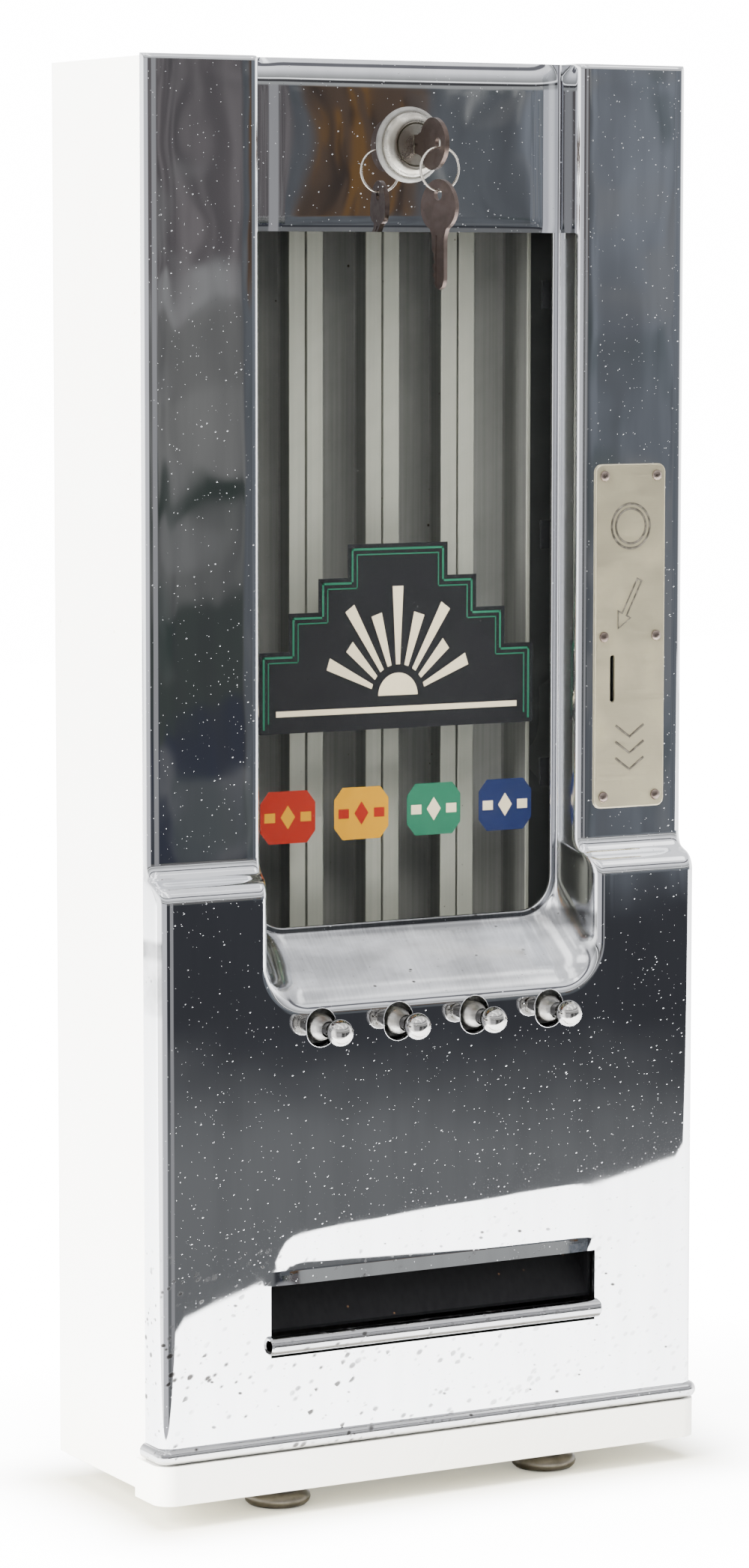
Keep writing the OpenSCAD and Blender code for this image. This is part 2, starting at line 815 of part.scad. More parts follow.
// Glass clips: a leaf on the outside of the sunk panel's wall, and a tongue over the glass
module glass_clips() {
    low = shelf_top_z + clip_in;
    high = win_top - clip_in - clip_w;
    y1 = y_glass + glass_t;
    color("silver")
        for (s = [0, 1])
            mirror([s, 0, 0])
                for (z = [low, (low + high) / 2, high])
                    translate([0, 0, z]) {
                        box([wall_x, y_floor - clip_leaf, 0], [wall_x + clip_t, y1 + clip_t, clip_w]);
                        box([win_w / 2 + glass_lap - clip_reach, y1, 0], [wall_x + clip_t, y1 + clip_t, clip_w]);
                    }
}

// Coin plate on the right pilaster
module coin_plate() {
    color("darkgray")
        difference() {
            along_y(y_up - coin_t, y_up)
                round_rect([coin_x - coin_w / 2, coin_z - coin_h / 2],
                           [coin_x + coin_w / 2, coin_z + coin_h / 2], coin_r);
            coin_slot(y_up - coin_t - eps, y_up + eps);
            at_rivets()
                rod_y(0, -eps, coin_t + eps, 0, shank_r + snug);
        }
}

// Round-head rivets through the coin plate and the cover
module coin_rivets() {
    cap = (rivet_r * rivet_r + rivet_h * rivet_h) / (2 * rivet_h);
    color("silver")
        at_rivets() {
            intersection() {
                translate([0, cap - rivet_h, 0])
                    sphere(cap);
                rod_y(0, -rivet_h - eps, 0, 0, rivet_r + eps);
            }
            rod_y(0, -rivet_h / 2, cover_t + coin_t, 0, shank_r);
        }
}

// Turns a profile of radius and depth about the lock's axis
module lock_turn(points) {
    translate([0, 0, lock_z])
        rotate([90, 0, 0])
            rotate_extrude()
                polygon([for (p = points) [p[0], -p[1]]]);
}

// Lock housing: stepped bezel in front of the header, round body through it
module lock_housing() {
    bore = plug_r + fit;
    step = bezel_h / 4;
    lip = (bezel_r - bore) / 4;
    color("silver")
        lock_turn([[bore, lock_back], [lock_r, lock_back], [lock_r, y_header], [bezel_r, y_header],
                   [bezel_r - lip / 2, y_header - step], [bezel_r - lip, y_header - step],
                   [bezel_r - 1.5 * lip, y_header - 2 * step], [bezel_r - 2 * lip, y_header - 2 * step],
                   [bezel_r - 3 * lip, lock_front], [bore, lock_front]]);
}

module lock_nut() {
    y0 = y_header + cover_t;
    color("silver")
        difference() {
            translate([0, y0 + nut_t, lock_z])
                rotate([90, 0, 0])
                    cylinder(h = nut_t, d = nut_d, $fn = 6);
            rod_y(0, y0 - eps, y0 + nut_t + eps, lock_z, lock_r + snug);
        }
}

// Plug: turns in the housing, with a keyway in front and a tail behind
module lock_plug() {
    color("darkgray")
        difference() {
            union() {
                rod_y(0, lock_front, lock_back, lock_z, plug_r);
                rod_y(0, lock_back - eps, lock_back + tail_l, lock_z, tail_r);
            }
            box([-key_t / 2 - clear, lock_front - eps, lock_z - blade_w / 2 - clear],
                [key_t / 2 + clear, lock_front + blade_l + clear, lock_z + blade_w / 2 + clear]);
        }
}

// Cam on the plug's tail: lies sideways, and turns up behind the keeper
module lock_cam() {
    color("silver")
        difference() {
            along_y(cam_y, cam_y + cam_t)
                translate([0, lock_z]) {
                    circle(cam_w / 2);
                    translate([0, -cam_w / 2])
                        square([cam_l - cam_w / 2, cam_w]);
                    translate([cam_l - cam_w / 2, 0])
                        circle(cam_w / 2);
                }
            rod_y(0, cam_y - eps, cam_y + cam_t + eps, lock_z, tail_r + snug);
        }
}

// Keeper: angle under the case top, its leg in front of the locked cam
module latch_keeper() {
    leg_y = cam_y - 2 * clear - case_t;
    half = cam_w;
    top = case_top - case_t;
    color("silver") {
        box([-half, leg_y, keeper_z], [half, leg_y + case_t, top]);
        box([-half, leg_y, top - case_t], [half, leg_y + cam_w, top]);
    }
}

// Key upright in the YZ plane: bow round the origin, hole above it, pointed blade down
module key_solid() {
    half = blade_w / 2;
    tip = -bow_r - key_neck - blade_l;
    difference() {
        union() {
            rod_x(-key_t / 2, key_t / 2, 0, 0, bow_r);
            along_x(key_t / 2)
                polygon([[-half, 0], [half, 0], [half, tip + half], [0, tip], [-half, tip + half]]);
        }
        rod_x(-key_t, key_t, 0, eye_off, eye_r);
    }
}

module key_main() {
    color("saddlebrown")
        translate([0, bow_y, lock_z])
            rotate([90, 0, 0])
                key_solid();
}

module key_ring() {
    color("silver")
        translate([0, ring_y, ring_z - ring_r])
            rotate([90, 0, 0])
                rotate_extrude()
                    translate([ring_r, 0])
                        circle(ring_wire);
}

module spare_key() {
    color("gray")
        translate([0, ring_y, spare_eye_z])
            rotate([0, 0, spare_turn])
                translate([0, 0, -eye_off])
                    key_solid();
}

// Hinge lugs on the toe: an eye round the rod, an arm back to a block
module hinge_lugs() {
    color("silver")
        for (s = [-1, 1])
            translate([s * lug_x, 0, 0])
                difference() {
                    union() {
                        rod_x(-lug_w / 2, lug_w / 2, bead_y, bead_z, eye_or);
                        box([-lug_w / 2, bead_y, bead_z - arm_t / 2],
                            [lug_w / 2, bead_y + arm_l + eps, bead_z + arm_t / 2]);
                        box([-lug_w / 2, bead_y + arm_l, toe_z],
                            [lug_w / 2, bead_y + arm_l + block_l, bead_z + arm_t / 2]);
                    }
                    rod_x(-lug_w, lug_w, bead_y, bead_z, hinge_r + snug);
                }
}

module hinge_rod() {
    color("silver")
        rod_x(-hinge_half, hinge_half, bead_y, bead_z, hinge_r);
}

// One gum column: folded channel with a front lip towards its neighbours and a hem at the outer sides
module column(i) {
    left = i > 0 ? col_lip : col_hem;
    right = i < col_n - 1 ? col_lip : col_hem;
    color("lightgray")
        translate([column_x(i), y_col, col_z])
            linear_extrude(col_top - col_z)
                difference() {
                    translate([-col_w / 2, 0])
                        square([col_w, col_d]);
                    translate([-col_w / 2 + col_t, col_t])
                        square([col_w - 2 * col_t, col_d - 2 * col_t]);
                    translate([-col_w / 2 + left, -eps])
                        square([col_w - left - right, col_t + 2 * eps]);
                }
}

module column_1() { column(0); }
module column_2() { column(1); }
module column_3() { column(2); }
module column_4() { column(3); }

// Magazine plate: hat-shaped sheet behind the columns, its flanges on the case back
module magazine_plate() {
    color("gray")
        translate([0, 0, col_z])
            linear_extrude(col_top - col_z) {
                translate([-mag_x, mag_y])
                    square([2 * mag_x, mag_t]);
                for (s = [0, 1])
                    mirror([s, 0]) {
                        translate([mag_x - mag_t, mag_y])
                            square([mag_t, y_inner - mag_y]);
                        translate([mag_x - mag_t, y_inner - mag_t])
                            square([mag_flange + mag_t, mag_t]);
                    }
            }
}

// Vend shelf: plate on the case back, with ribs that carry the columns and guide the slides
module vend_shelf() {
    flange_h = 2 * rib_h;
    color("lightgray") {
        box([-shelf_x, shelf_y, shelf_up - shelf_t], [shelf_x, y_inner, shelf_up]);
        box([-shelf_x, y_inner - shelf_t, shelf_up - flange_h], [shelf_x, y_inner, shelf_up]);
        for (s = [0, 1])
            mirror([s, 0, 0])
                box([shelf_x - shelf_t, shelf_y, shelf_up - shelf_t], [shelf_x, y_inner, shelf_up + slide_h]);
        for (i = [0 : col_n])
            translate([column_x(i) - pitch / 2, 0, 0])
                box([-rib_w / 2, shelf_y, shelf_up - shelf_t], [rib_w / 2, y_inner, col_z]);
    }
}

// Plunger guide: plate with a bore for each rod, its arms on the sides of the shelf
module plunger_guide() {
    z0 = plunger_z - guide_h / 2;
    z1 = plunger_z + guide_h / 2;
    x1 = shelf_x + guide_t;
    color("silver")
        difference() {
            union() {
                box([-x1, guide_y, z0], [x1, guide_y + guide_t, z1]);
                for (s = [0, 1])
                    mirror([s, 0, 0])
                        box([shelf_x, guide_y, z0], [x1, y_col + col_d, z1]);
            }
            for (i = [0 : col_n - 1])
                rod_y(column_x(i), guide_y - eps, guide_y + guide_t + eps, plunger_z, rod_r + fit);
        }
}

// One plunger: rod, collar that stops on the guide, tapered neck and ball
module plunger(i) {
    collar_y = guide_y - clear;
    ball_y = y_low - ball_out;
    color("silver")
        translate([column_x(i), 0, plunger_z]) {
            rotate([90, 0, 0])
                rotate_extrude()
                    polygon([[0, -slide_y], [rod_r, -slide_y], [rod_r, -collar_y], [collar_r, -collar_y],
                             [collar_r, -y_low], [knob_neck, -y_low + knob_taper], [knob_neck, -ball_y],
                             [0, -ball_y]]);
            translate([0, ball_y, 0])
                sphere(ball_r);
        }
}

module plunger_1() { plunger(0); }
module plunger_2() { plunger(1); }
module plunger_3() { plunger(2); }
module plunger_4() { plunger(3); }

// One ejector slide: a pocket for one packet, and a plate that holds up the rest of the stack
module ejector(i) {
    half = slide_w / 2;
    pocket_back = pocket_y + pocket_d;
    slide_back = pocket_back + travel;
    color("darkgray")
        translate([column_x(i), 0, plunger_z - slide_h / 2])
            difference() {
                box([-half, slide_y, 0], [half, slide_back, slide_h]);
                box([-half + slide_t, pocket_y, -eps], [half - slide_t, pocket_back, slide_h + eps]);
                box([-half + slide_t, pocket_back + slide_t, -eps],
                    [half - slide_t, slide_back - slide_t, slide_h - slide_t]);
            }
}

module ejector_1() { ejector(0); }
module ejector_2() { ejector(1); }
module ejector_3() { ejector(2); }
module ejector_4() { ejector(3); }

// Return spring: one tube wound round the rod, 8 rings a curl and 6 sides
spring_rings = 8 * spring_n;
spring_run = spring_l - 2 * wire_r - 2 * clear;
spring_y = guide_y + guide_t + wire_r + clear;
function spring_at(k) =
    let (a = 45 * k)
    [spring_r * cos(a), spring_y + spring_run * k / spring_rings, spring_r * sin(a)];
function spring_ring(k) =
    let (a = 45 * k,
         n = [cos(a), 0, sin(a)],
         t = unit([-spring_r * sin(a) * PI / 4, spring_run / spring_rings, spring_r * cos(a) * PI / 4]),
         b = cross(t, n))
    [for (j = [0 : 5]) spring_at(k) + wire_r * (cos(60 * j) * n + sin(60 * j) * b)];
spring_points = [for (k = [0 : spring_rings]) each spring_ring(k)];
spring_faces = concat(
    [[for (j = [5 : -1 : 0]) j]],
    [for (k = [0 : spring_rings - 1]) for (j = [0 : 5])
        let (a = 6 * k + j, b = 6 * k + (j + 1) % 6) each [[a, b, b + 6], [a, b + 6, a + 6]]],
    [[for (j = [0 : 5]) 6 * spring_rings + j]]);
spring_gap = min([for (k = [0 : spring_rings - 8]) norm(spring_at(k + 8) - spring_at(k)) - 2 * wire_r]);
echo(spring_least_gap_mm = spring_gap);

module spring(i) {
    color("silver")
        translate([column_x(i), 0, plunger_z])
            polyhedron(spring_points, spring_faces);
}

module spring_1() { spring(0); }
module spring_2() { spring(1); }
module spring_3() { spring(2); }
module spring_4() { spring(3); }

// Delivery chute: hangs from the shelf, slopes to the slot, with a cheek on each side
module delivery_chute() {
    top = shelf_up - shelf_t;
    cheek_top = plunger_z - guide_h / 2 - clear;
    color("lightgray") {
        along_x(chute_x)
            polygon([[chute_back - chute_t, top], [chute_back, top], [chute_back, chute_top],
                     [chute_front, chute_z - chute_t], [chute_front, chute_z],
                     [chute_back - chute_t, chute_top + chute_t]]);
        for (s = [0, 1])
            mirror([s, 0, 0])
                translate([chute_x - chute_t / 2, 0, 0])
                    along_x(chute_t / 2)
                        polygon([[chute_back, cheek_top], [chute_back, chute_top],
                                 [chute_front, chute_z - chute_t], [chute_front, chute_z + cheek_h],
                                 [chute_back - travel - slide_bar, cheek_top]]);
    }
}

// Coin chute behind the coin slot, on two brackets from the side of the case
module coin_chute() {
    y0 = y_joint + race_in;
    y1 = y0 + race_d + 2 * race_t;
    z0 = floor_z + box_h + race_gap;
    z1 = race_z + coin_slot_l / 2 + 2 * race_t;
    mouth = race_z - coin_slot_l / 2 - race_t;
    half = race_w / 2;
    wall = case_w / 2 - case_t;
    color("silver")
        difference() {
            union() {
                box([race_x - half - race_t, y0, z0], [race_x + half + race_t, y1, z1]);
                for (z = [z0 + race_d, mouth - race_d]) {
                    box([race_x + half, y0, z], [wall, y1, z + race_t]);
                    box([wall - race_t, y0, z], [wall, y1, z + race_d / 2]);
                }
            }
            box([race_x - half, y0 + race_t, z0 - eps], [race_x + half, y1 - race_t, z1 + eps]);
            box([race_x - half, y0 - eps, mouth], [race_x + half, y0 + 2 * race_t, z1 + eps]);
        }
}

// Coin box: open tray on the floor of the case, below the coin chute
module coin_box() {
    color("gray")
        difference() {
            box([box_x - box_w / 2, box_y, floor_z], [box_x + box_w / 2, box_y + box_d, floor_z + box_h]);
            box([box_x - box_w / 2 + box_t, box_y + box_t, floor_z + box_t],
                [box_x + box_w / 2 - box_t, box_y + box_d - box_t, floor_z + box_h + eps]);
        }
}

case_box();
base();
foot_glides();
foot_necks();
front_shell();
window_glass();
glass_clips();
coin_plate();
coin_rivets();
lock_housing();
lock_nut();
lock_plug();
lock_cam();
latch_keeper();
key_main();
key_ring();
spare_key();
hinge_lugs();
hinge_rod();
column_1();
column_2();
column_3();
column_4();
magazine_plate();
vend_shelf();
plunger_guide();
plunger_1();
plunger_2();
plunger_3();
plunger_4();
ejector_1();
ejector_2();
ejector_3();
ejector_4();
spring_1();
spring_2();
spring_3();
spring_4();
delivery_chute();
coin_chute();
coin_box();
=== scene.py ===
"""Looks of a counter-top gum vending machine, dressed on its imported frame."""
import logging
import math
from dataclasses import dataclass
from enum import Enum
from functools import cached_property
from typing import Any, Callable, Iterable, Sequence

import bmesh
import bpy
from mathutils import Matrix, Vector


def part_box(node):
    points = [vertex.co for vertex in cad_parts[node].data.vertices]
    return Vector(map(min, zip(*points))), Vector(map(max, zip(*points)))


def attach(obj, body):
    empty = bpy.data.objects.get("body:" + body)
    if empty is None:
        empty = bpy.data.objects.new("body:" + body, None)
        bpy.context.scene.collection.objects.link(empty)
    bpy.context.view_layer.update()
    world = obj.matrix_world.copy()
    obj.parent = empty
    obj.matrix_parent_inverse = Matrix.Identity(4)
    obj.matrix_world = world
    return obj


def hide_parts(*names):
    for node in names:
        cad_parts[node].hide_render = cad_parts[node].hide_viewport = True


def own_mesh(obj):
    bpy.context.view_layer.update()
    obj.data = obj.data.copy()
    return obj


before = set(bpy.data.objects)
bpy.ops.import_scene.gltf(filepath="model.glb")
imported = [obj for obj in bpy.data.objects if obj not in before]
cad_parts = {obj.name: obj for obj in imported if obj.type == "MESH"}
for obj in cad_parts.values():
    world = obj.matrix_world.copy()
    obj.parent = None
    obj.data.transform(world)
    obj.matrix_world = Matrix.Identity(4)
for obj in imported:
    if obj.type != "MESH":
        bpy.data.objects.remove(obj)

LOG = logging.getLogger("gum_machine")
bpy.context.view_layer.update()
MM = 0.001

Point = tuple[float, float, float]
Colour = tuple[float, float, float]
Flat = tuple[float, float]
Points = Sequence[Sequence[float]]
Rings = Sequence[Sequence[int]]
Part = tuple[Points, Rings]
Thing = bpy.types.Object

# Millimetres that more than one sub-assembly uses
PLUNGER_XS = tuple((k - 1.5) * 36.5 for k in range(4))
PLUNGER_Z = 203.3
COIN_SLOT_LEFT, COIN_SLOT_DOWN = 8.8, 17.9
COIN_SLOT_R, COIN_SLOT_LONG = 1.2, 17.8


class Body(str, Enum):
    """Moving bodies of the machine."""

    CASE = "case"
    COVER = "cover"
    PLUG = "plug"
    RING = "ring"
    SPARE = "spare"
    PLUNGER_1 = "plunger_1"
    PLUNGER_2 = "plunger_2"
    PLUNGER_3 = "plunger_3"
    PLUNGER_4 = "plunger_4"


class Slot(str, Enum):
    """Material slots of the record, named for each new piece, though place does not give them."""

    ENAMEL = "enamel"
    COVER = "cover_chrome"
    NICKEL = "nickel"
    KNOB = "knob_chrome"
    PLATE = "plate_nickel"
    TIN = "tinplate"
    SPRING = "spring_steel"
    KEY = "bronzed_steel"
    SPARE = "grey_key"
    RING = "ring_steel"
    GLASS = "clear_glass"


class Sock:
    """A node's output that takes part in Python arithmetic."""

    def __init__(self, tree: "Tree", socket: bpy.types.NodeSocket) -> None:
        """Keeps the tree and the socket."""
        self.tree, self.socket = tree, socket

    def _math(self, op: str, *args: Any) -> "Sock":
        """Adds a Math node on sockets or numbers."""
        return self.tree.node("ShaderNodeMath", {"operation": op}, dict(enumerate(args)))

    def __add__(self, other: Any) -> "Sock":
        """Sum."""
        return self._math("ADD", self, other)

    def __sub__(self, other: Any) -> "Sock":
        """Difference."""
        return self._math("SUBTRACT", self, other)

    def __rsub__(self, other: Any) -> "Sock":
        """Reflected difference."""
        return self._math("SUBTRACT", other, self)

    def __mul__(self, other: Any) -> "Sock":
        """Product."""
        return self._math("MULTIPLY", self, other)

    __radd__, __rmul__ = __add__, __mul__

    def __lt__(self, other: Any) -> "Sock":
        """One where this value is the smaller."""
        return self._math("LESS_THAN", self, other)

    def __gt__(self, other: Any) -> "Sock":
        """One where this value is the larger."""
        return self._math("GREATER_THAN", self, other)

    def __abs__(self) -> "Sock":
        """Value without its sign."""
        return self._math("ABSOLUTE", self)

    def at_most(self, other: Any) -> "Sock":
        """Smaller of two values."""
        return self._math("MINIMUM", self, other)

    def at_least(self, other: Any) -> "Sock":
        """Larger of two values."""
        return self._math("MAXIMUM", self, other)

    def step(self, low: float, high: float) -> "Sock":
        """Smooth step from 0 at low to 1 at high, which may be the smaller."""
        return self.tree.node("ShaderNodeMapRange", {"interpolation_type": "SMOOTHSTEP"},
                              {"Value": self, "From Min": low, "From Max": high})

    def band(self, start: float, full: float, last: float, end: float) -> "Sock":
        """One from full to last, falling to none at start and end."""
        return self.step(start, full) * self.step(end, last)


class Tree:
    """A node tree with one way to add a node."""

    def __init__(self, tree: bpy.types.NodeTree) -> None:
        """Empties the tree."""
        self.tree = tree
        tree.nodes.clear()

    def fill(self, node: bpy.types.Node, inputs: dict[Any, Any]) -> None:
        """Sets or links a node's sockets.

        Args:
            node: the node.
            inputs: values or links by socket name or number.
        """
        for key, value in inputs.items():
            target = node.inputs[key]
            if isinstance(value, Sock):
                self.tree.links.new(value.socket, target)
            else:
                target.default_value = (*value[:3], 1.0) if target.type == "RGBA" else value

    def raw(self, kind: str, settings: dict[str, Any] | None = None,
            inputs: dict[Any, Any] | None = None) -> bpy.types.Node:
        """Adds a node.

        Args:
            kind: the node's type.
            settings: its attributes, set before its sockets.
            inputs: values or links by socket name or number.

        Returns:
            The node.
        """
        node = self.tree.nodes.new(kind)
        for key, value in (settings or {}).items():
            setattr(node, key, value)
        self.fill(node, inputs or {})
        return node

    def node(self, kind: str, settings: dict[str, Any] | None = None,
             inputs: dict[Any, Any] | None = None, out: Any = 0) -> Sock:
        """Adds a node as raw does and gives one of its outputs, by name or number."""
        return Sock(self, self.raw(kind, settings, inputs).outputs[out])


class Paint(Tree):
    """A shader tree on one kind of coordinates."""

    def __init__(self, tree: bpy.types.NodeTree, kind: str) -> None:
        """Starts a tree on the named coordinates."""
        super().__init__(tree)
        self.place = self.node("ShaderNodeTexCoord", out=kind)

    @cached_property
    def axes(self) -> list[Sock]:
        """The three coordinates."""
        split = self.raw("ShaderNodeSeparateXYZ", None, {0: self.place})
        return [Sock(self, end) for end in split.outputs]

    def mapped(self, scale: Point, turn: Point = (0, 0, 0)) -> Sock:
        """Coordinates, turned by radians and scaled."""
        turned = self.node("ShaderNodeMapping", None, {"Vector": self.place, "Rotation": turn})
        return self.node("ShaderNodeVectorMath", {"operation": "MULTIPLY"}, {0: turned, 1: scale})

    def noise(self, scale: float | Point, detail: float = 2.0, turn: Point = (0, 0, 0)) -> Sock:
        """Noise of mean one half.

        Args:
            scale: waves for each unit, one number or one for each axis.
            detail: octaves.
            turn: radians by which the axes of an uneven scale are turned.

        Returns:
            The noise.
        """
        vector = self.place
        if isinstance(scale, tuple):
            vector, scale = self.mapped(scale, turn), 1.0
        inputs = {"Vector": vector, "Scale": scale, "Detail": detail}
        return self.node("ShaderNodeTexNoise", None, inputs, "Fac")

    def patches(self, scale: float | Point, detail: float, low: float, high: float,
                turn: Point = (0, 0, 0)) -> Sock:
        """Patches where the noise passes from low to high."""
        return self.noise(scale, detail, turn).step(low, high)

    def specks(self, scale: float, share: float, radius: float, vector: Sock | None = None) -> Sock:
        """Scattered spots.

        Args:
            scale: cells per metre.
            share: share of the cells that hold a spot.
            radius: spot radius as a share of a cell.
            vector: coordinates, if not the tree's own.

        Returns:
            A mask, one in the middle of a spot.
        """
        cells = self.raw("ShaderNodeTexVoronoi", None, {"Vector": vector or self.place, "Scale": scale})
        pick = self.node("ShaderNodeSeparateColor", None, {0: Sock(self, cells.outputs["Color"])}, 0)
        size = (share - pick).at_least(0.0) * (radius / share)
        return (size - Sock(self, cells.outputs["Distance"])).step(0.0, radius * 0.5)

    def blend(self, factor: Any, a: Any, b: Any) -> Sock:
        """Mixes two colours."""
        return self.node("ShaderNodeMix", {"data_type": "RGBA"}, {0: factor, 6: a, 7: b}, 2)

    def layered(self, base: Any, *layers: tuple[Sock, Any]) -> Any:
        """Lays colours over a base.

        Args:
            base: the lowest colour.
            layers: mask and colour of each layer, from the lowest.

        Returns:
            The mixed colour.
        """
        for mask, tone in layers:
            base = self.blend(mask, base, tone)
        return base


class Shade(Paint):
    """The node tree of one material, on Object coordinates."""

    def __init__(self, name: str) -> None:
        """Starts a material with its shader and output.

        Args:
            name: the material's name.
        """
        self.material = bpy.data.materials.new(name)
        self.material.use_nodes = True
        super().__init__(self.material.node_tree, "Object")
        self.shader = self.raw("ShaderNodeBsdfPrincipled")
        end = self.raw("ShaderNodeOutputMaterial")
        self.tree.links.new(self.shader.outputs[0], end.inputs[0])

    def bump(self, height: Sock, distance: float, strength: float = 1.0, under: Sock | None = None) -> Sock:
        """Normal of a height field.

        Args:
            height: height from 0 to 1.
            distance: metres for one unit of height.
            strength: share of the bump.
            under: a normal to build on.

        Returns:
            The normal.
        """
        inputs: dict[Any, Any] = {"Height": height, "Distance": distance, "Strength": strength}
        if under is not None:
            inputs["Normal"] = under
        return self.node("ShaderNodeBump", None, inputs)

    def rolled(self) -> Sock:
        """Normal of a sheet's upright rolling marks."""
        return self.bump(self.noise((900.0, 900.0, 40.0)), 0.00003)

    def feed(self, **sockets: Any) -> None:
        """Sets or links the shader's sockets, named with underscores for spaces."""
        self.fill(self.shader, {key.replace("_", " "): value for key, value in sockets.items()})


# Places on the cover of sill wear, of a band of painted shade under the window and of duller scoop walls, and
# of the case's inside, which is painted grey as shade, in metres
SILL_Z, SILL_Y = (0.211, 0.214, 0.2415, 0.2445), -0.0385
SILL_TOP_SHADE = (0.2335, 0.2375)
WALL_X, WALL_END_X, WALL_Y = (0.0715, 0.0735), 0.0785, -0.0362
WALL_Z, WALL_TOP = (0.228, 0.236), 0.527
INSIDE_X, INSIDE_Y, INSIDE_LOW, INSIDE_TOP = 0.1273, 0.0611, 0.0136, 0.5984

# Linear colours of dirt and bare places, and the grey of the case's inside, painted as shade
RUST, DEEP_RUST, BROWN_SPOT = (0.10, 0.055, 0.03), (0.05, 0.035, 0.02), (0.16, 0.12, 0.07)
INSIDE_SHADE_GREY, CHIP = (0.075, 0.076, 0.074), (0.42, 0.36, 0.28)
PANE_DUST = (0.40, 0.40, 0.38)


def toned(colour: Colour, share: float) -> Colour:
    """A colour times a share."""
    return tuple(share * c for c in colour)


@dataclass(frozen=True)
class Finish:
    """A surface finish, made once as a material."""

    name: str
    colour: Colour

    def material(self) -> bpy.types.Material:
        """The finish's material."""
        if self.name not in bpy.data.materials:
            self.paint(Shade(self.name))
        return bpy.data.materials[self.name]

    def paint(self, s: Shade) -> None:
        """Feeds the shader of the material's tree."""
        raise NotImplementedError


@dataclass(frozen=True)
class Chrome(Finish):
    """Bright plating with pits, scratches and smears, duller in the scoop round the window, with a painted
    shade band under the window; a copy may be darker behind a depth or carry a painted shadow below a height.
    """

    waves: float = 1.0
    rough: float = 0.018
    # A copy may darken behind a depth, and take a painted shadow below a height, both in the dark colour
    # below.
    dark_behind_y: float = 1.0
    painted_shadow_below_z: float = -1.0
    dark_tone: Colour = (0.05, 0.046, 0.04)
    pit: Colour = (0.055, 0.052, 0.05)

    def paint(self, s: Shade) -> None:
        """Feeds the material's shader.

        Args:
            s: the material's tree.
        """
        x, y, z = s.axes
        sill = z.band(*SILL_Z) * (y > SILL_Y)
        wall = abs(x).step(*WALL_X) * (abs(x) < WALL_END_X) * (y > WALL_Y) * z.step(*WALL_Z) * (z < WALL_TOP)
        pale = s.specks(680.0, 0.32, 0.20, s.mapped((0.55, 1.0, 1.0), (0.0, 0.3, 0.0)))
        pale = pale * s.patches(28.0, 2.0, 0.28, 0.55)
        pale = pale.at_least(s.specks(1150.0, 0.13, 0.24)).at_least(s.specks(210.0, 0.12, 0.055))
        dark = s.specks(360.0, 0.34, 0.33, s.mapped((0.6, 1.0, 1.0), (0.0, -0.2, 0.0)))
        dark = dark * s.patches(21.0, 2.0, 0.36, 0.56) * z.step(0.125, 0.11).at_least(sill)
        low = s.specks(440.0, 0.26, 0.75, s.mapped((0.7, 1.0, 1.1), (0.0, 0.5, 0.0))) * z.step(0.125, 0.095)
        dark = dark.at_least(low * s.patches(34.0, 2.0, 0.34, 0.50) * (x.step(0.09, -0.07) * 0.7 + 0.3))
        smear = s.patches((110.0, 110.0, 12.0), 4.0, 0.35, 0.75)
        scratch = s.patches((14.0, 14.0, 5200.0), 1.0, 0.74, 0.78, (0.0, 0.45, 0.0))
        scratch = scratch.at_least(s.patches((14.0, 14.0, 4600.0), 1.0, 0.75, 0.79, (0.0, -1.1, 0.0)))
        scratch = scratch * s.patches(17.0, 1.0, 0.54, 0.68)
        # Sill wear in patches and streaks, plus a band of painted shade along the sill's top under the
        # window's rim.
        sill_wear_and_shade = s.patches((26.0, 60.0, 60.0), 3.0, 0.35, 0.7) * 0.42 + z.step(*SILL_TOP_SHADE) * 0.5
        sill_wear_and_shade = sill * (sill_wear_and_shade + s.noise((900.0, 50.0, 50.0)) * 0.28)
        # Smears; darker behind a given depth; sill wear with a painted shade band under the window; a painted
        # shadow below a given height; pits.
        tone = s.layered(self.colour, (smear * 0.5, toned(self.colour, 0.84)),
                         ((y > self.dark_behind_y) * 0.85, self.dark_tone),
                         (sill_wear_and_shade.at_most(0.85), toned(self.colour, 0.16)),
                         ((z < self.painted_shadow_below_z) * 0.8, self.dark_tone), (dark, self.pit))
        dull = smear * 0.012 + pale * 0.20 + dark * 0.08 + scratch * 0.03 + sill * 0.09 + wall * 0.13
        s.feed(Base_Color=tone, Metallic=1.0 - dark * 0.1, Roughness=self.rough + dull,
               Normal=s.bump(pale, 0.00008, 0.7, s.bump(s.noise(11.0), 0.00020 * self.waves)))


@dataclass(frozen=True)
class Satin(Finish):
    """Worn plated or browned metal, with grain and darker hollows."""

    dark: Colour
    rough: float = 0.28
    grain: float = 1.0

    def paint(self, s: Shade) -> None:
        """Feeds the material's shader.

        Args:
            s: the material's tree.
        """
        patch = s.patches(160.0, 4.0, 0.35, 0.72)
        fine = s.noise(1900.0)
        stain = s.specks(330.0, 0.35, 0.30)
        s.feed(Base_Color=s.blend((patch * 0.75 + stain * 0.5).at_most(1.0), self.colour, self.dark),
               Metallic=1.0, Roughness=self.rough + fine * 0.10 + patch * 0.10,
               Normal=s.bump(fine + stain * 0.6, 0.00004 * self.grain))


@dataclass(frozen=True)
class Sheet(Finish):
    """Dull tinned or dark sheet with upright streaks and a few rust specks."""

    dark: Colour
    rough: float = 0.42
    metal: float = 1.0

    def paint(self, s: Shade) -> None:
        """Feeds the material's shader.

        Args:
            s: the material's tree.
        """
        streak = s.patches((420.0, 420.0, 9.0), 3.0, 0.3, 0.75)
        rust = s.specks(240.0, 0.10, 0.30)
        tone = s.blend(streak * 0.5 + s.patches(35.0, 3.0, 0.35, 0.7) * 0.4, self.colour, self.dark)
        s.feed(Base_Color=s.blend(rust, tone, RUST), Metallic=self.metal - rust * self.metal,
               Roughness=self.rough + streak * 0.12 + rust * 0.3, Specular_IOR_Level=0.15, Normal=s.rolled())


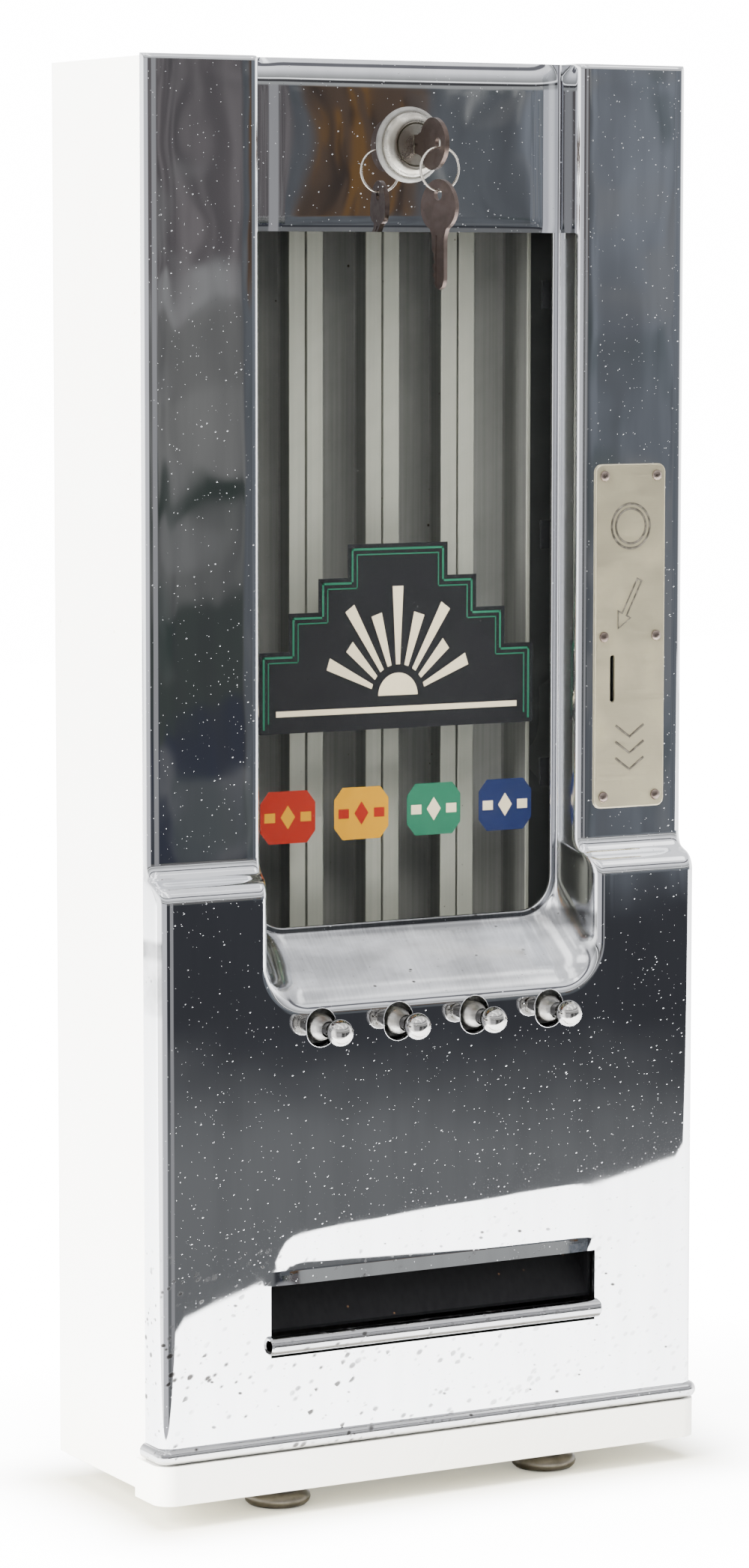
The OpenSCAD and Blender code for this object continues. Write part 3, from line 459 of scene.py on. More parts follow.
@dataclass(frozen=True)
class Channel(Finish):
    """Gum column: tinned lips in front, dull channel behind, with painted shade darkening its side walls."""

    dark: Colour
    lip_y: float = 0.0082
    back_y: float = 0.0275

    def paint(self, s: Shade) -> None:
        """Feeds the material's shader.

        Args:
            s: the material's tree.
        """
        y = s.axes[1]
        streak = s.patches((520.0, 520.0, 7.0), 3.0, 0.3, 0.75)
        cloud = s.patches(26.0, 3.0, 0.3, 0.75)
        rust = s.specks(230.0, 0.06, 0.20)
        deep = y.step(self.lip_y, self.lip_y + 0.0012)
        lip = s.blend(streak * 0.3 + cloud * 0.15, self.colour, toned(self.colour, 0.7))
        # Channel colour: random streaks, and painted shade darkening the side walls in front of the back.
        wall = s.layered(self.dark, (streak * 0.4 + cloud * 0.3, toned(self.dark, 0.6)),
                         (y.step(self.back_y, self.back_y - 0.001) * 0.55, toned(self.dark, 0.3)))
        s.feed(Base_Color=s.layered(lip, (deep, wall), (rust, DEEP_RUST)),
               Metallic=0.35 + deep * 0.20, Roughness=0.45 + streak * 0.12 + rust * 0.2, Normal=s.rolled())


@dataclass(frozen=True)
class Plate(Finish):
    """Nickel silver plate: brushed sideways, clouded and spotted with brown."""

    dark: Colour

    def paint(self, s: Shade) -> None:
        """Feeds the material's shader.

        Args:
            s: the material's tree.
        """
        brush = s.noise((60.0, 400.0, 2200.0), 3.0)
        cloud = s.patches(60.0, 4.0, 0.38, 0.75)
        tone = s.layered(self.colour, (cloud * 0.6 + brush * 0.15, self.dark),
                         (s.specks(120.0, 0.14, 0.22) * 0.7, BROWN_SPOT))
        s.feed(Base_Color=tone, Metallic=0.92 - cloud * 0.1, Roughness=0.30 + brush * 0.16 + cloud * 0.08,
               Normal=s.bump(brush, 0.00003, 0.8, s.bump(s.noise(40.0), 0.0001)))


@dataclass(frozen=True)
class Enamel(Finish):
    """Gloss cream enamel with orange peel, patchy yellowing, darker and yellower in the bottom 6 cm, a few
    chips and perhaps a grey inside painted as shade.
    """

    dark: Colour
    shaded_inside: float = 0.0

    def paint(self, s: Shade) -> None:
        """Feeds the material's shader.

        Args:
            s: the material's tree.
        """
        x, y, z = s.axes
        cloud = s.patches(9.0, 3.0, 0.3, 0.75)
        chips = s.specks(70.0, 0.05, 0.10)
        # Where asked, the inside of the case is darkened to grey as painted shade.
        inside_shade_mask = (abs(x) < INSIDE_X) * (y < INSIDE_Y) * (z < INSIDE_TOP) * (z > INSIDE_LOW) * self.shaded_inside
        # Patchy yellowing, and in the bottom 6 cm the enamel grows darker and yellower.
        tone = s.layered(self.colour, ((cloud * 0.45 + z.step(0.06, 0.0) * 0.5).at_most(1.0), self.dark),
                         (inside_shade_mask, INSIDE_SHADE_GREY), (chips * 0.5, CHIP))
        s.feed(Base_Color=tone, Roughness=0.20 + cloud * 0.10 + chips * 0.3, Coat_Weight=0.5 - cloud * 0.2,
               Coat_Roughness=0.08,
               Normal=s.bump(s.noise(420.0), 0.00004, 0.8, s.bump(s.noise(14.0, 1.0), 0.0002)))


@dataclass(frozen=True)
class Dusty(Finish):
    """Dark rubber or patina with paler patches of dust or wear."""

    pale: Colour
    patch: tuple[float, float, float, float]
    share: float
    rough: Flat
    metal: float = 0.0
    relief: float = 0.00005

    def paint(self, s: Shade) -> None:
        """Feeds the material's shader.

        Args:
            s: the material's tree.
        """
        dust = s.patches(*self.patch)
        s.feed(Base_Color=s.blend(dust * self.share, self.colour, self.pale), Metallic=self.metal,
               Roughness=self.rough[0] + dust * self.rough[1], Normal=s.bump(dust, self.relief))


@dataclass(frozen=True)
class Glass(Finish):
    """Slightly grey pane with dust and wiping marks."""

    def paint(self, s: Shade) -> None:
        """Feeds the material's shader.

        Args:
            s: the material's tree.
        """
        wipe = s.patches((30.0, 30.0, 140.0), 3.0, 0.4, 0.8, (0.0, 0.6, 0.0))
        dust = s.specks(260.0, 0.18, 0.14)
        s.feed(Base_Color=s.blend(dust, self.colour, PANE_DUST), Roughness=0.03 + wipe * 0.06,
               IOR=1.5, Alpha=0.030 + wipe * 0.022 + dust * 0.15, Specular_IOR_Level=0.6)
        s.material.surface_render_method = "BLENDED"


@dataclass(frozen=True)
class Print(Finish):
    """Printed colour on the back of the glass, with worn pinholes."""

    def paint(self, s: Shade) -> None:
        """Feeds the material's shader.

        Args:
            s: the material's tree.
        """
        cloud = s.noise(90.0, 3.0)
        s.feed(Base_Color=s.blend(cloud * 0.3, self.colour, toned(self.colour, 0.7)),
               Roughness=0.5 + cloud * 0.15, Alpha=1.0 - s.specks(300.0, 0.10, 0.18) * 0.8,
               Specular_IOR_Level=0.12, Normal=s.bump(cloud, 0.00002))


COVER_CHROME = Chrome("worn_chrome", (0.80, 0.81, 0.83))
# The knob, bead and slot-tube copies have darker colours as painted shade for their darker reflections; the
# knobs' pits are real wear, the knobs are darker behind a given depth, and the tube has a painted shadow
# along its underside.
KNOB_CHROME = Chrome("knob_chrome_worn", (0.50, 0.49, 0.47), 0.3, 0.10, dark_behind_y=-0.0553)
SHADED_BEAD_CHROME = Chrome("handled_chrome", (0.52, 0.52, 0.53), 1.0, 0.10)
LIP_CHROME = Chrome("lip_chrome", (0.44, 0.44, 0.45), 1.0, 0.10, painted_shadow_below_z=0.0704)
NICKEL = Satin("satin_nickel", (0.47, 0.45, 0.40), (0.30, 0.275, 0.23), 0.20)
FROSTED = Satin("frosted_nickel", (0.50, 0.49, 0.46), (0.36, 0.35, 0.32), 0.5, 4.0)
COLLAR_NICKEL = Satin("collar_nickel", (0.58, 0.57, 0.54), (0.30, 0.28, 0.25), 0.24, 2.0)
RIVET_NICKEL = Satin("rivet_nickel", (0.23, 0.185, 0.16), (0.12, 0.092, 0.078), 0.22)
KEY_BRONZE = Satin("browned_key", (0.13, 0.098, 0.085), (0.08, 0.060, 0.053), 0.32)
SPARE_METAL = Satin("aged_key", (0.14, 0.108, 0.096), (0.085, 0.065, 0.058), 0.32)
GLIDE_METAL = Satin("glide_metal", (0.115, 0.105, 0.09), (0.068, 0.061, 0.051), 0.3)
RING_STEEL = Satin("ring_wire", (0.80, 0.76, 0.68), (0.60, 0.55, 0.46), 0.18)
SPRING_STEEL = Satin("spring_wire", (0.62, 0.61, 0.58), (0.40, 0.38, 0.36), 0.25)
PLATE_NICKEL = Plate("coin_plate_nickel", (0.54, 0.487, 0.340), (0.38, 0.335, 0.215))
TIN = Channel("tinned_channel", (0.26, 0.262, 0.217), (0.27, 0.272, 0.248))
DARK_SHEET = Sheet("dark_sheet", (0.16, 0.165, 0.16), (0.09, 0.09, 0.09), 0.55)
# Near-black sheet: painted shade for the slot's dark inside and for the clips against the dark case.
SHADOW_BLACK_SHEET = Sheet("black_sheet", (0.004, 0.004, 0.0045), (0.0025, 0.0025, 0.003), 0.6, 0.0)
INNER_TIN = Sheet("dull_sheet", (0.30, 0.30, 0.29), (0.17, 0.17, 0.16), 0.5)
ENAMEL = Enamel("cream_enamel", (0.86, 0.845, 0.79), (0.80, 0.77, 0.68))
# The case's enamel, with its inside painted grey as shade.
CASE_ENAMEL = Enamel("case_enamel", ENAMEL.colour, ENAMEL.dark, 1.0)
RUBBER = Dusty("dark_rubber", (0.035, 0.035, 0.038), (0.16, 0.15, 0.14), (220.0, 4.0, 0.4, 0.8), 0.5,
               (0.62, 0.25))
PANE = Glass("window_pane", (0.05, 0.055, 0.05))
STAMP_AND_SHADOW = Dusty("stamped_lines", (0.035, 0.030, 0.022), (0.20, 0.18, 0.14), (500.0, 3.0, 0.35, 0.75), 0.6,
              (0.45, 0.15), 0.6, 0.00003)
INKS = {ink: Print(f"print_{ink}", colour) for ink, colour in (
    ("black", (0.006, 0.006, 0.007)), ("cream", (0.50, 0.43, 0.29)), ("green", (0.010, 0.085, 0.045)),
    ("red", (0.19, 0.008, 0.002)), ("yellow", (0.35, 0.165, 0.0005)), ("navy", (0.006, 0.011, 0.045)))}


def linked(name: str, data: bpy.types.ID) -> Thing:
    """Puts a new object into the scene.

    Args:
        name: its name.
        data: its mesh, camera or light.

    Returns:
        The object.
    """
    thing = bpy.data.objects.new(name, data)
    bpy.context.scene.collection.objects.link(thing)
    return thing


def bare_mesh(name: str, points: Points, edges: Rings = (),
              faces: Rings = ()) -> bpy.types.Mesh:
    """A mesh without a finish.

    Args:
        name: its name.
        points: points in millimetres.
        edges: pairs of points.
        faces: rings of points.

    Returns:
        The mesh.
    """
    mesh = bpy.data.meshes.new(name)
    mesh.from_pydata([[v * MM for v in p] for p in points], edges, faces)
    return mesh


def solid(name: str, part: Part, finish: Finish) -> Thing:
    """A mesh object.

    Args:
        name: its name.
        part: points in millimetres, and faces.
        finish: its finish.

    Returns:
        The object.
    """
    mesh = bare_mesh(name, part[0], faces=part[1])
    mesh.materials.append(finish.material())
    return linked(name, mesh)


def settle(thing: Thing, angle: float = 35.0, outward: bool = True) -> Thing:
    """Applies modifiers, merges doubles and smooths below an angle.

    Args:
        thing: the object.
        angle: degrees above which an edge stays sharp.
        outward: whether to turn the faces outwards.

    Returns:
        The same object.
    """
    bpy.context.view_layer.update()
    graph = bpy.context.evaluated_depsgraph_get()
    mesh = bpy.data.meshes.new_from_object(thing.evaluated_get(graph), depsgraph=graph)
    mesh.name = thing.name
    thing.modifiers.clear()
    work = bmesh.new()
    work.from_mesh(mesh)
    bmesh.ops.remove_doubles(work, verts=work.verts, dist=0.000002)
    bmesh.ops.dissolve_degenerate(work, edges=work.edges, dist=0.000001)
    if outward:
        bmesh.ops.recalc_face_normals(work, faces=work.faces)
    work.to_mesh(mesh)
    work.free()
    mesh.shade_smooth()
    mesh.set_sharp_from_angle(angle=math.radians(angle))
    thing.data = mesh
    return thing


def weighted(thing: Thing) -> Thing:
    """Adds area-weighted normals, so that flat faces stay flat beside their rounded edges."""
    thing.modifiers.new("normals", "WEIGHTED_NORMAL").keep_sharp = True
    return thing


def bevelled(thing: Thing, width: float, degrees: float, segments: int = 3) -> Thing:
    """Adds rounding to sharp edges.

    Args:
        thing: the object.
        width: width of the rounding, in millimetres.
        degrees: angle above which an edge is rounded.
        segments: faces across the rounding.

    Returns:
        The same object.
    """
    edge = thing.modifiers.new("edge", "BEVEL")
    edge.width, edge.segments, edge.angle_limit = width * MM, segments, math.radians(degrees)
    return thing


def thickened(thing: Thing, thickness: float, offset: float) -> Thing:
    """Adds thickness to a surface.

    Args:
        thing: the object.
        thickness: millimetres.
        offset: 1 for a wall before the surface, -1 for one behind it.

    Returns:
        The same object.
    """
    wall = thing.modifiers.new("wall", "SOLIDIFY")
    wall.thickness, wall.offset = thickness * MM, offset
    return thing


def carved(thing: Thing, cuts: Sequence[Thing], outward: bool = True) -> Thing:
    """Cuts forms out of a piece.

    Args:
        thing: the piece.
        cuts: the forms, which are removed.
        outward: whether to turn the faces outwards.

    Returns:
        The piece.
    """
    for cut in cuts:
        hole = thing.modifiers.new("hole", "BOOLEAN")
        hole.operation, hole.solver, hole.object = "DIFFERENCE", "EXACT", cut
    settle(thing, outward=outward)
    for cut in cuts:
        bpy.data.objects.remove(cut)
    return thing


def grid(rows: Sequence[Points], close: bool = False,
         keep: Callable[[int, int], bool] | None = None) -> Part:
    """Faces between rows of points.

    Args:
        rows: rows with equal numbers of points.
        close: whether the last row joins the first.
        keep: says whether the face at a row and column is wanted.

    Returns:
        The points and the faces.
    """
    width = len(rows[0])
    faces = []
    for i in range(len(rows) - (0 if close else 1)):
        for j in range(width - 1):
            if keep is None or keep(i, j):
                a, b = i * width + j, (i + 1) % len(rows) * width + j
                faces.append([a, b, b + 1, a + 1])
    return [p for row in rows for p in row], faces


def join_parts(parts: Iterable[Part]) -> Part:
    """Joins parts.

    Args:
        parts: points and faces of each.

    Returns:
        All their points and faces.
    """
    points: list[Sequence[float]] = []
    faces: list[list[int]] = []
    for some, rings in parts:
        faces += [[k + len(points) for k in ring] for ring in rings]
        points += some
    return points, faces


def mirrored(part: Part) -> Part:
    """The part's mirror image in the plane x = 0, with its faces the right way round."""
    return [(-x, y, z) for x, y, z in part[0]], [list(reversed(f)) for f in part[1]]


def bend(start: Vector, corner: Vector, end: Vector, before: float, after: float, steps: int) -> list[Vector]:
    """Soft rounding of a corner, over lengths before and after it, on the way from start to end."""
    u, v = (start - corner).normalized() * before, (end - corner).normalized() * after
    return [corner + u * (1 - t) ** 2 + v * t * t for t in (k / steps for k in range(steps + 1))]


def circle(steps: int) -> list[Flat]:
    """Cosine and sine of equal steps round a turn."""
    return [(math.cos(a), math.sin(a)) for a in (math.tau * k / steps for k in range(steps))]


def oval(x: float, z: float, r: float, long: float, steps: int = 40) -> list[Flat]:
    """Points of an upright oval, as x and z."""
    return [(x + r * c, z + r * s + math.copysign(long / 2, s)) for c, s in circle(steps)]


def rect(x0: float, z0: float, x1: float, z1: float) -> list[Flat]:
    """Corners of a rectangle, as x and z."""
    return [(x0, z0), (x1, z0), (x1, z1), (x0, z1)]


def unit(value: float) -> float:
    """A value held between 0 and 1."""
    return min(max(value, 0.0), 1.0)


def eased(value: float) -> float:
    """A soft step over the values 0 to 1."""
    return unit(value) ** 2 * (3 - 2 * unit(value))


def lathe(name: str, profile: Sequence[Flat], centre: Flat, finish: Finish, steps: int = 64,
          upright: bool = False) -> Thing:
    """Turns a profile about an axis along Y, or along Z.

    Args:
        name: the object's name.
        profile: radius and place along the axis, in millimetres.
        centre: the axis' other two coordinates.
        finish: its finish.
        steps: steps round the axis.
        upright: whether the axis runs along Z.

    Returns:
        The object.
    """
    rows = [[(centre[0] + r * c, centre[1] + r * s, t) if upright
             else (centre[0] + r * c, t, centre[1] + r * s) for r, t in profile] for c, s in circle(steps)]
    return settle(solid(name, grid(rows, close=True), finish), 38.0)


def prism(name: str, outline: Sequence[Flat], y0: float, y1: float, finish: Finish,
          round_by: float = 0.0) -> Thing:
    """Extrudes an outline of x and z along Y, with rounded edges.

    Args:
        name: the object's name.
        outline: corners in order.
        y0: front depth in millimetres.
        y1: back depth.
        finish: its finish.
        round_by: width of the rounding, in millimetres.

    Returns:
        The object.
    """
    n = len(outline)
    points = [(x, y, z) for y in (y0, y1) for x, z in outline]
    faces = [list(range(n)), list(range(2 * n - 1, n - 1, -1))]
    faces += [[k, k + n, (k + 1) % n + n, (k + 1) % n] for k in range(n)]
    thing = settle(solid(name, (points, faces), finish))
    return weighted(settle(bevelled(thing, round_by, 40))) if round_by else thing


def box_mm(node: str) -> tuple[Vector, Vector]:
    """Lower and upper corner of a CAD node, in millimetres."""
    low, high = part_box(node)
    return low / MM, high / MM


def coin_slot() -> list[Flat]:
    """Outline of the slot in the coin plate, as x and z."""
    mid = sum(box_mm("coin_plate"), Vector()) / 2
    return oval(mid.x - COIN_SLOT_LEFT, mid.z - COIN_SLOT_DOWN, COIN_SLOT_R, COIN_SLOT_LONG)


def place(thing: Thing, body: Body, slot: Slot, *nodes: str) -> Thing:
    """Puts a finished piece on its body.

    Args:
        thing: the piece.
        body: the body that it moves with.
        slot: the record's slot of its finish; not used.
        nodes: the nodes that it stands for.

    Returns:
        The piece.
    """
    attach(thing, body.value)
    if nodes:
        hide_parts(*nodes)
    LOG.info("%s rides on %s, %d faces", thing.name, body.value, len(thing.data.polygons))
    return thing


def dress(finish: Finish, *nodes: str) -> None:
    """Gives CAD nodes a finish.

    Args:
        finish: the finish.
        nodes: names of the nodes.
    """
    for name in nodes:
        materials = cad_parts[name].data.materials
        materials.clear()
        materials.append(finish.material())
        LOG.info("%s keeps its solid, in %s", name, finish.name)


def softened(node: str, name: str, width: float, finish: Finish) -> Thing:
    """A merged copy of a node's mesh with rounded edges.

    Args:
        node: the CAD node.
        name: the copy's name.
        width: width of the rounding, in millimetres.
        finish: its finish.

    Returns:
        The copy.
    """
    thing = linked(name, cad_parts[node].data.copy())
    work = bmesh.new()
    work.from_mesh(thing.data)
    bmesh.ops.remove_doubles(work, verts=work.verts, dist=0.00001)
    bmesh.ops.dissolve_limit(work, angle_limit=math.radians(0.6), verts=work.verts, edges=work.edges)
    work.to_mesh(thing.data)
    work.free()
    thing.data.materials.clear()
    thing.data.materials.append(finish.material())
    return weighted(settle(bevelled(thing, width, 35), 40.0, outward=False))


class Grow(Tree):
    """A Geometry Nodes tree with named size inputs, turned into a plain mesh."""

    def __init__(self, name: str, sizes: dict[str, float]) -> None:
        """Starts a tree.

        Args:
            name: the tree's name.
            sizes: named inputs in metres or counts.
        """
        self.sizes = sizes
        group = bpy.data.node_groups.new(name, "GeometryNodeTree")
        super().__init__(group)
        add = group.interface.new_socket
        for way in ("INPUT", "OUTPUT"):
            add("Geometry", in_out=way, socket_type="NodeSocketGeometry")
        self.keys = {key: add(key, in_out="INPUT", socket_type="NodeSocketFloat").identifier for key in sizes}
        self.start = group.nodes.new("NodeGroupInput")
        self.end = group.nodes.new("NodeGroupOutput")

    def given(self, key: str = "Geometry") -> Sock:
        """A named input, or the geometry that the tree starts from."""
        return Sock(self, self.start.outputs[key])

    def grow(self, name: str, shape: Sock, finish: Finish, base: bpy.types.Mesh) -> Thing:
        """Ends the tree and makes its plain mesh.

        Args:
            name: the object's name.
            shape: the last geometry.
            finish: its finish.
            base: mesh that the tree starts from.

        Returns:
            The object.
        """
        real = self.node("GeometryNodeRealizeInstances", None, {0: shape})
        done = self.node("GeometryNodeSetMaterial", None, {"Geometry": real, "Material": finish.material()})
        self.tree.links.new(done.socket, self.end.inputs[0])
        thing = linked(name, base)
        modifier = thing.modifiers.new("grow", "NODES")
        modifier.node_group = self.tree
        for key, value in self.sizes.items():
            modifier[self.keys[key]] = value
        return settle(thing, 40.0)


def path_mesh(name: str, loops: Iterable[Points], closed: bool = False) -> bpy.types.Mesh:
    """Mesh of bare edges along paths.

    Args:
        name: the mesh's name.
        loops: points of each path, in millimetres.
        closed: whether each path closes.

    Returns:
        The mesh.
    """
    points: list[Sequence[float]] = []
    edges: list[tuple[int, int]] = []
    for loop in loops:
        first, n = len(points), len(loop)
        points += loop
        edges += [(first + k, first + (k + 1) % n) for k in range(n if closed else n - 1)]
    return bare_mesh(name, points, edges)


def swept(name: str, loops: Iterable[Points], radius: float, finish: Finish,
          closed: bool = False, fillet: float = 0.0, sides: int = 16) -> Thing:
    """Round bars along paths.

    Args:
        name: the object's name.
        loops: points of each path, in millimetres.
        radius: the bar's radius, in millimetres.
        finish: its finish.
        closed: whether each path closes.
        fillet: radius at the corners of a path, in millimetres.
        sides: sides of the bar.

    Returns:
        The object.
    """
    tree = Grow(name, {"Radius": radius * MM, "Fillet": max(fillet, 0.001) * MM})
    line = tree.node("GeometryNodeMeshToCurve", None, {0: tree.given()})
    if fillet:
        line = tree.node("GeometryNodeFilletCurve", {"mode": "POLY"},
                         {"Curve": line, "Count": 8, "Radius": tree.given("Fillet"), "Limit Radius": True})
    ring = tree.node("GeometryNodeCurvePrimitiveCircle", None,
                     {"Resolution": sides, "Radius": tree.given("Radius")})
    bar = tree.node("GeometryNodeCurveToMesh", None,
                    {"Curve": line, "Profile Curve": ring, "Fill Caps": True})
    return tree.grow(name, bar, finish, path_mesh(name, loops, closed))


def repeated(name: str, form: Thing, spots: Sequence[Point], finish: Finish) -> Thing:
    """Copies of a form at several places, as one piece.

    Args:
        name: the piece's name.
        form: the form at the origin, which is removed.
        spots: places in millimetres.
        finish: the piece's finish.

    Returns:
        The piece.
    """
    tree = Grow(name, {"Size": 1.0})
    inner = tree.node("GeometryNodeObjectInfo", None, {"Object": form}, "Geometry")
    spread = tree.node("GeometryNodeInstanceOnPoints", None,
                       {"Points": tree.given(), "Instance": inner, "Scale": tree.given("Size")})
    row = tree.grow(name, spread, finish, path_mesh(name, [[spot] for spot in spots]))
    bpy.data.objects.remove(form)
    return row


@dataclass
class FrontCover:
    """Bright front cover: pilasters, sunk panel, scoop, ogee shelf, slot, header and bead."""

    half: float = 128.5
    top: float = 600.0
    top_roll: float = 2.2
    y_up: float = -27.75
    y_low: float = -39.95
    y_edge: float = -24.05
    y_floor: float = -12.25
    y_header: float = -15.75
    y_flange: float = -7.25
    shelf_z: float = 258.0
    shelf_h: float = 16.0
    recess: float = 75.5
    flare: float = 2.5
    lip_z: float = 213.3
    lip_r: float = 17.0
    lip_roll: float = 4.6
    lip_share: float = 0.30
    heel_share: float = 0.40
    heel_roll: float = 1.2
    rim_roll: float = 0.9
    rim_turn: float = 1.6
    sill_z: float = 238.0
    win_rim: float = 3.5
    heel_r: float = 18.5
    side_roll: float = 6.0
    sheet: float = 2.2
    join_z: float = 200.0
    bead_z: float = 30.8
    bead_y: float = -39.15
    bead_x: float = 127.7
    bead_r: float = 3.4
    slot_half: float = 78.3
    slot_top: float = 97.0
    slot_low: float = 66.9
    tube_r: float = 3.9
    tube_z: float = 72.1
    brow: float = 6.0
    brow_out: float = 1.0
    brow_in: float = 0.35
    brow_rise: float = 30.0
    header_half: float = 73.5
    header_low: float = 529.5
    header_hem: float = 0.3
    header_turn: float = 2.0
    crown: float = 0.2
    side_fall: Flat = (13.0, 3.0)
    top_fall: Flat = (10.0, 2.2)
    low_fall: Flat = (5.0, 0.4)
    most_fall: float = 3.4
    hole_r: float = 6.8
    hole_long: float = 2.6

    def face_y(self, z: float) -> float:
        """Depth of the face.

        Args:
            z: height.

        Returns:
            The depth there, on the roll at the top, the upper face, the ogee shelf or the lower face.
        """
        step = self.y_up - self.y_low
        r = (step * step + self.shelf_h ** 2) / (4 * step)
        shelf_top = self.shelf_z + self.shelf_h
        if z > self.top - self.top_roll:
            rise = z - self.top + self.top_roll
            return self.y_up + self.top_roll - math.sqrt(max(self.top_roll ** 2 - rise * rise, 0.0))
        if z >= shelf_top:
            return self.y_up
        if z <= self.shelf_z:
            return self.y_low
        if z >= shelf_top - self.shelf_h / 2:
            return self.y_up - r + math.sqrt(r * r - (shelf_top - z) ** 2)
        return self.y_low + r - math.sqrt(r * r - (z - self.shelf_z) ** 2)

    def section(self, lip: Vector, heel: Vector, away: Vector, end: Vector) -> list[Vector]:
        """Line across the cover's front.

        Args:
            lip: corner of the lip.
            heel: corner between wall and sunk panel.
            away: direction away from the window, in the face.
            end: where the face ends.

        Returns:
            Points from the window's edge to the end of the face.
        """
        rim = heel - away * self.win_rim
        back = Vector((0.0, 1.0, 0.0))
        wall = (lip - heel).length
        line = [rim + back * self.rim_turn] + bend(rim + back, rim, heel, self.rim_roll, self.rim_roll, 4)
        line += bend(rim, heel, lip, self.heel_roll, self.heel_share * wall, 10)
        line += bend(heel, lip, lip + away, self.lip_share * wall, self.lip_roll, 12)
        first = line[-1]
        return line + [first.lerp(end, t) for t in (0.12, 0.3, 0.55, 0.8, 1.0)]

    def heights(self) -> list[float]:
        """Heights of the sections beside the window, from the top down."""
        z0 = self.lip_z + self.lip_r
        tops = [self.top - self.top_roll * (1 - math.sin(math.pi / 2 * k / 6)) for k in range(6, 0, -1)]
        shelf = [self.shelf_z + self.shelf_h * (0.5 + 0.5 * math.cos(math.pi * k / 28)) for k in range(29)]
        return (tops + [self.top - self.top_roll - 12.0 * k for k in range(26)] + [278.0] + shelf
                + [z0 + (self.shelf_z - z0) * t for t in (0.8, 0.6, 0.4, 0.2)])

    def right_sections(self) -> tuple[list[list[Vector]], list[Vector], list[float]]:
        """Sections of the right half.

        Returns:
            The sections from the top round to the middle of the sill, the ends at the side roll,
            and the places on the joining line with the lower front.
        """
        shelf_top = self.shelf_z + self.shelf_h
        lip_top, heel_top = self.lip_z + self.lip_r, self.sill_z + self.heel_r
        rise = (shelf_top - heel_top) / (shelf_top - lip_top)
        edge = self.half - self.side_roll
        sections, side = [], []
        for z in self.heights():
            y = self.face_y(z)
            low = unit((self.y_up - y) / (self.y_up - self.y_low))
            side.append(Vector((edge, y, z)))
            heel_z = z if z > shelf_top else shelf_top - rise * (shelf_top - z)
            sections.append(self.section(
                Vector((self.recess + low * self.flare, y, z)), Vector((self.recess, self.y_floor, heel_z)),
                Vector((1, 0, 0)), side[-1]))
        mid, heel_mid = self.recess + self.flare - self.lip_r, self.recess - self.heel_r
        ends = [(edge, lip_top + (self.join_z - lip_top) * k / 8) for k in range(8)]
        ends += [(edge + (self.slot_half - edge) * k / 11, self.join_z) for k in range(11)]
        ends += [(self.slot_half + (mid - self.slot_half) * k / 5, self.join_z) for k in range(6)]
        for k, (x, z) in enumerate(ends):
            a = -math.pi / 2 * k / 24
            c, s = math.cos(a), math.sin(a)
            end = Vector((x, self.y_low, z))
            if k <= 8:
                side.append(end)
            sections.append(self.section(
                Vector((mid + self.lip_r * c, self.y_low, self.lip_z + self.lip_r * (1 + s))),
                Vector((heel_mid + self.heel_r * c, self.y_floor, self.sill_z + self.heel_r * (1 + s))),
                Vector((c, 0, s)), end))
        across = [x for x, _ in ends[8:]]
        for k in range(1, 11):
            across.append(mid * (1 - k / 10))
            sections.append(self.section(
                Vector((across[-1], self.y_low, self.lip_z)),
                Vector((heel_mid * (1 - k / 10), self.y_floor, self.sill_z)),
                Vector((0, 0, -1)), Vector((across[-1], self.y_low, self.join_z))))
        return sections, side, across

    def brow_y(self, x: float, z: float) -> float:
        """Fall of the face above the slot, and flare of the slot's edge.

        Args:
            x: place across.
            z: height.

        Returns:
            The change of depth, which is negative in the flare.
        """
        above = z - self.slot_top
        if above < 0.0:
            return 0.0
        sink = self.brow_in * eased((self.brow_rise - above) / (self.brow_rise - self.brow))
        flare = self.brow_out * max(1.0 - above / self.brow, 0.0)
        return (sink - flare) * eased((self.slot_half + 0.5 - abs(x)) / 14.0)

    def lower_front(self, across: list[float]) -> tuple[Part, list[float]]:
        """Lower front with the slot.

        Args:
            across: places of the upright lines, from the right edge to the middle.

        Returns:
            Points and faces, and the heights of the rows.
        """
        inner = self.slot_half + 0.01
        xs = [-x for x in across] + list(reversed(across[:-1]))
        zs = [self.join_z, 185.0, 170.0, 155.0, 140.0, 127.0, 123.0, 119.0, 115.0, 111.0, 107.0]
        zs += [self.slot_top + self.brow * (1 - k / 10) for k in range(11)]
        zs += [self.slot_low, 62.0, 52.0, 42.0, self.bead_z]
        rows = [[(x, self.y_low + self.brow_y(x, z), z) for x in xs] for z in zs]
        gap = zs.index(self.slot_top)

        def keep(i: int, j: int) -> bool:
            """Whether a cell isn't in the slot."""
            return not (i == gap and max(abs(xs[j]), abs(xs[j + 1])) <= inner)

        roll = [[(x, self.y_low + self.brow_y(x, self.slot_top) + dy, self.slot_top + dz)
                 for x in xs if abs(x) <= inner]
                for dy, dz in ((0.0, 0.0), (1.2, -0.2), (2.4, 0.2), (3.4, 1.4), (3.8, 3.0))]
        return join_parts([grid(rows, keep=keep), grid(roll)]), zs

    def side_strip(self, ends: list[Vector]) -> Part:
        """Rolled right edge and side of the cover.

        Args:
            ends: ends of the face, from the top down.

        Returns:
            Points and faces.
        """
        rows = []
        for end in ends:
            corner = Vector((self.half, end.y, end.z))
            depth = max(self.y_edge - end.y, 0.1)
            roll = bend(end, corner, corner + Vector((0, 1, 0)), self.side_roll, min(5.5, depth * 0.85), 9)
            rows.append(roll + [Vector((self.half, self.y_edge, end.z))])
        return grid(rows)

    def header_part(self) -> Part:
        """Points and faces of the pillowed header, with its soft edges and the flange above the case."""
        h, z0, z1, hem = self.header_half, self.header_low, self.top, self.y_floor + self.header_hem

        def drop(d: float, width: float, depth: float) -> float:
            """Fall of a soft edge at a distance from it."""
            return depth * max(1 - d / width, 0.0) ** 2

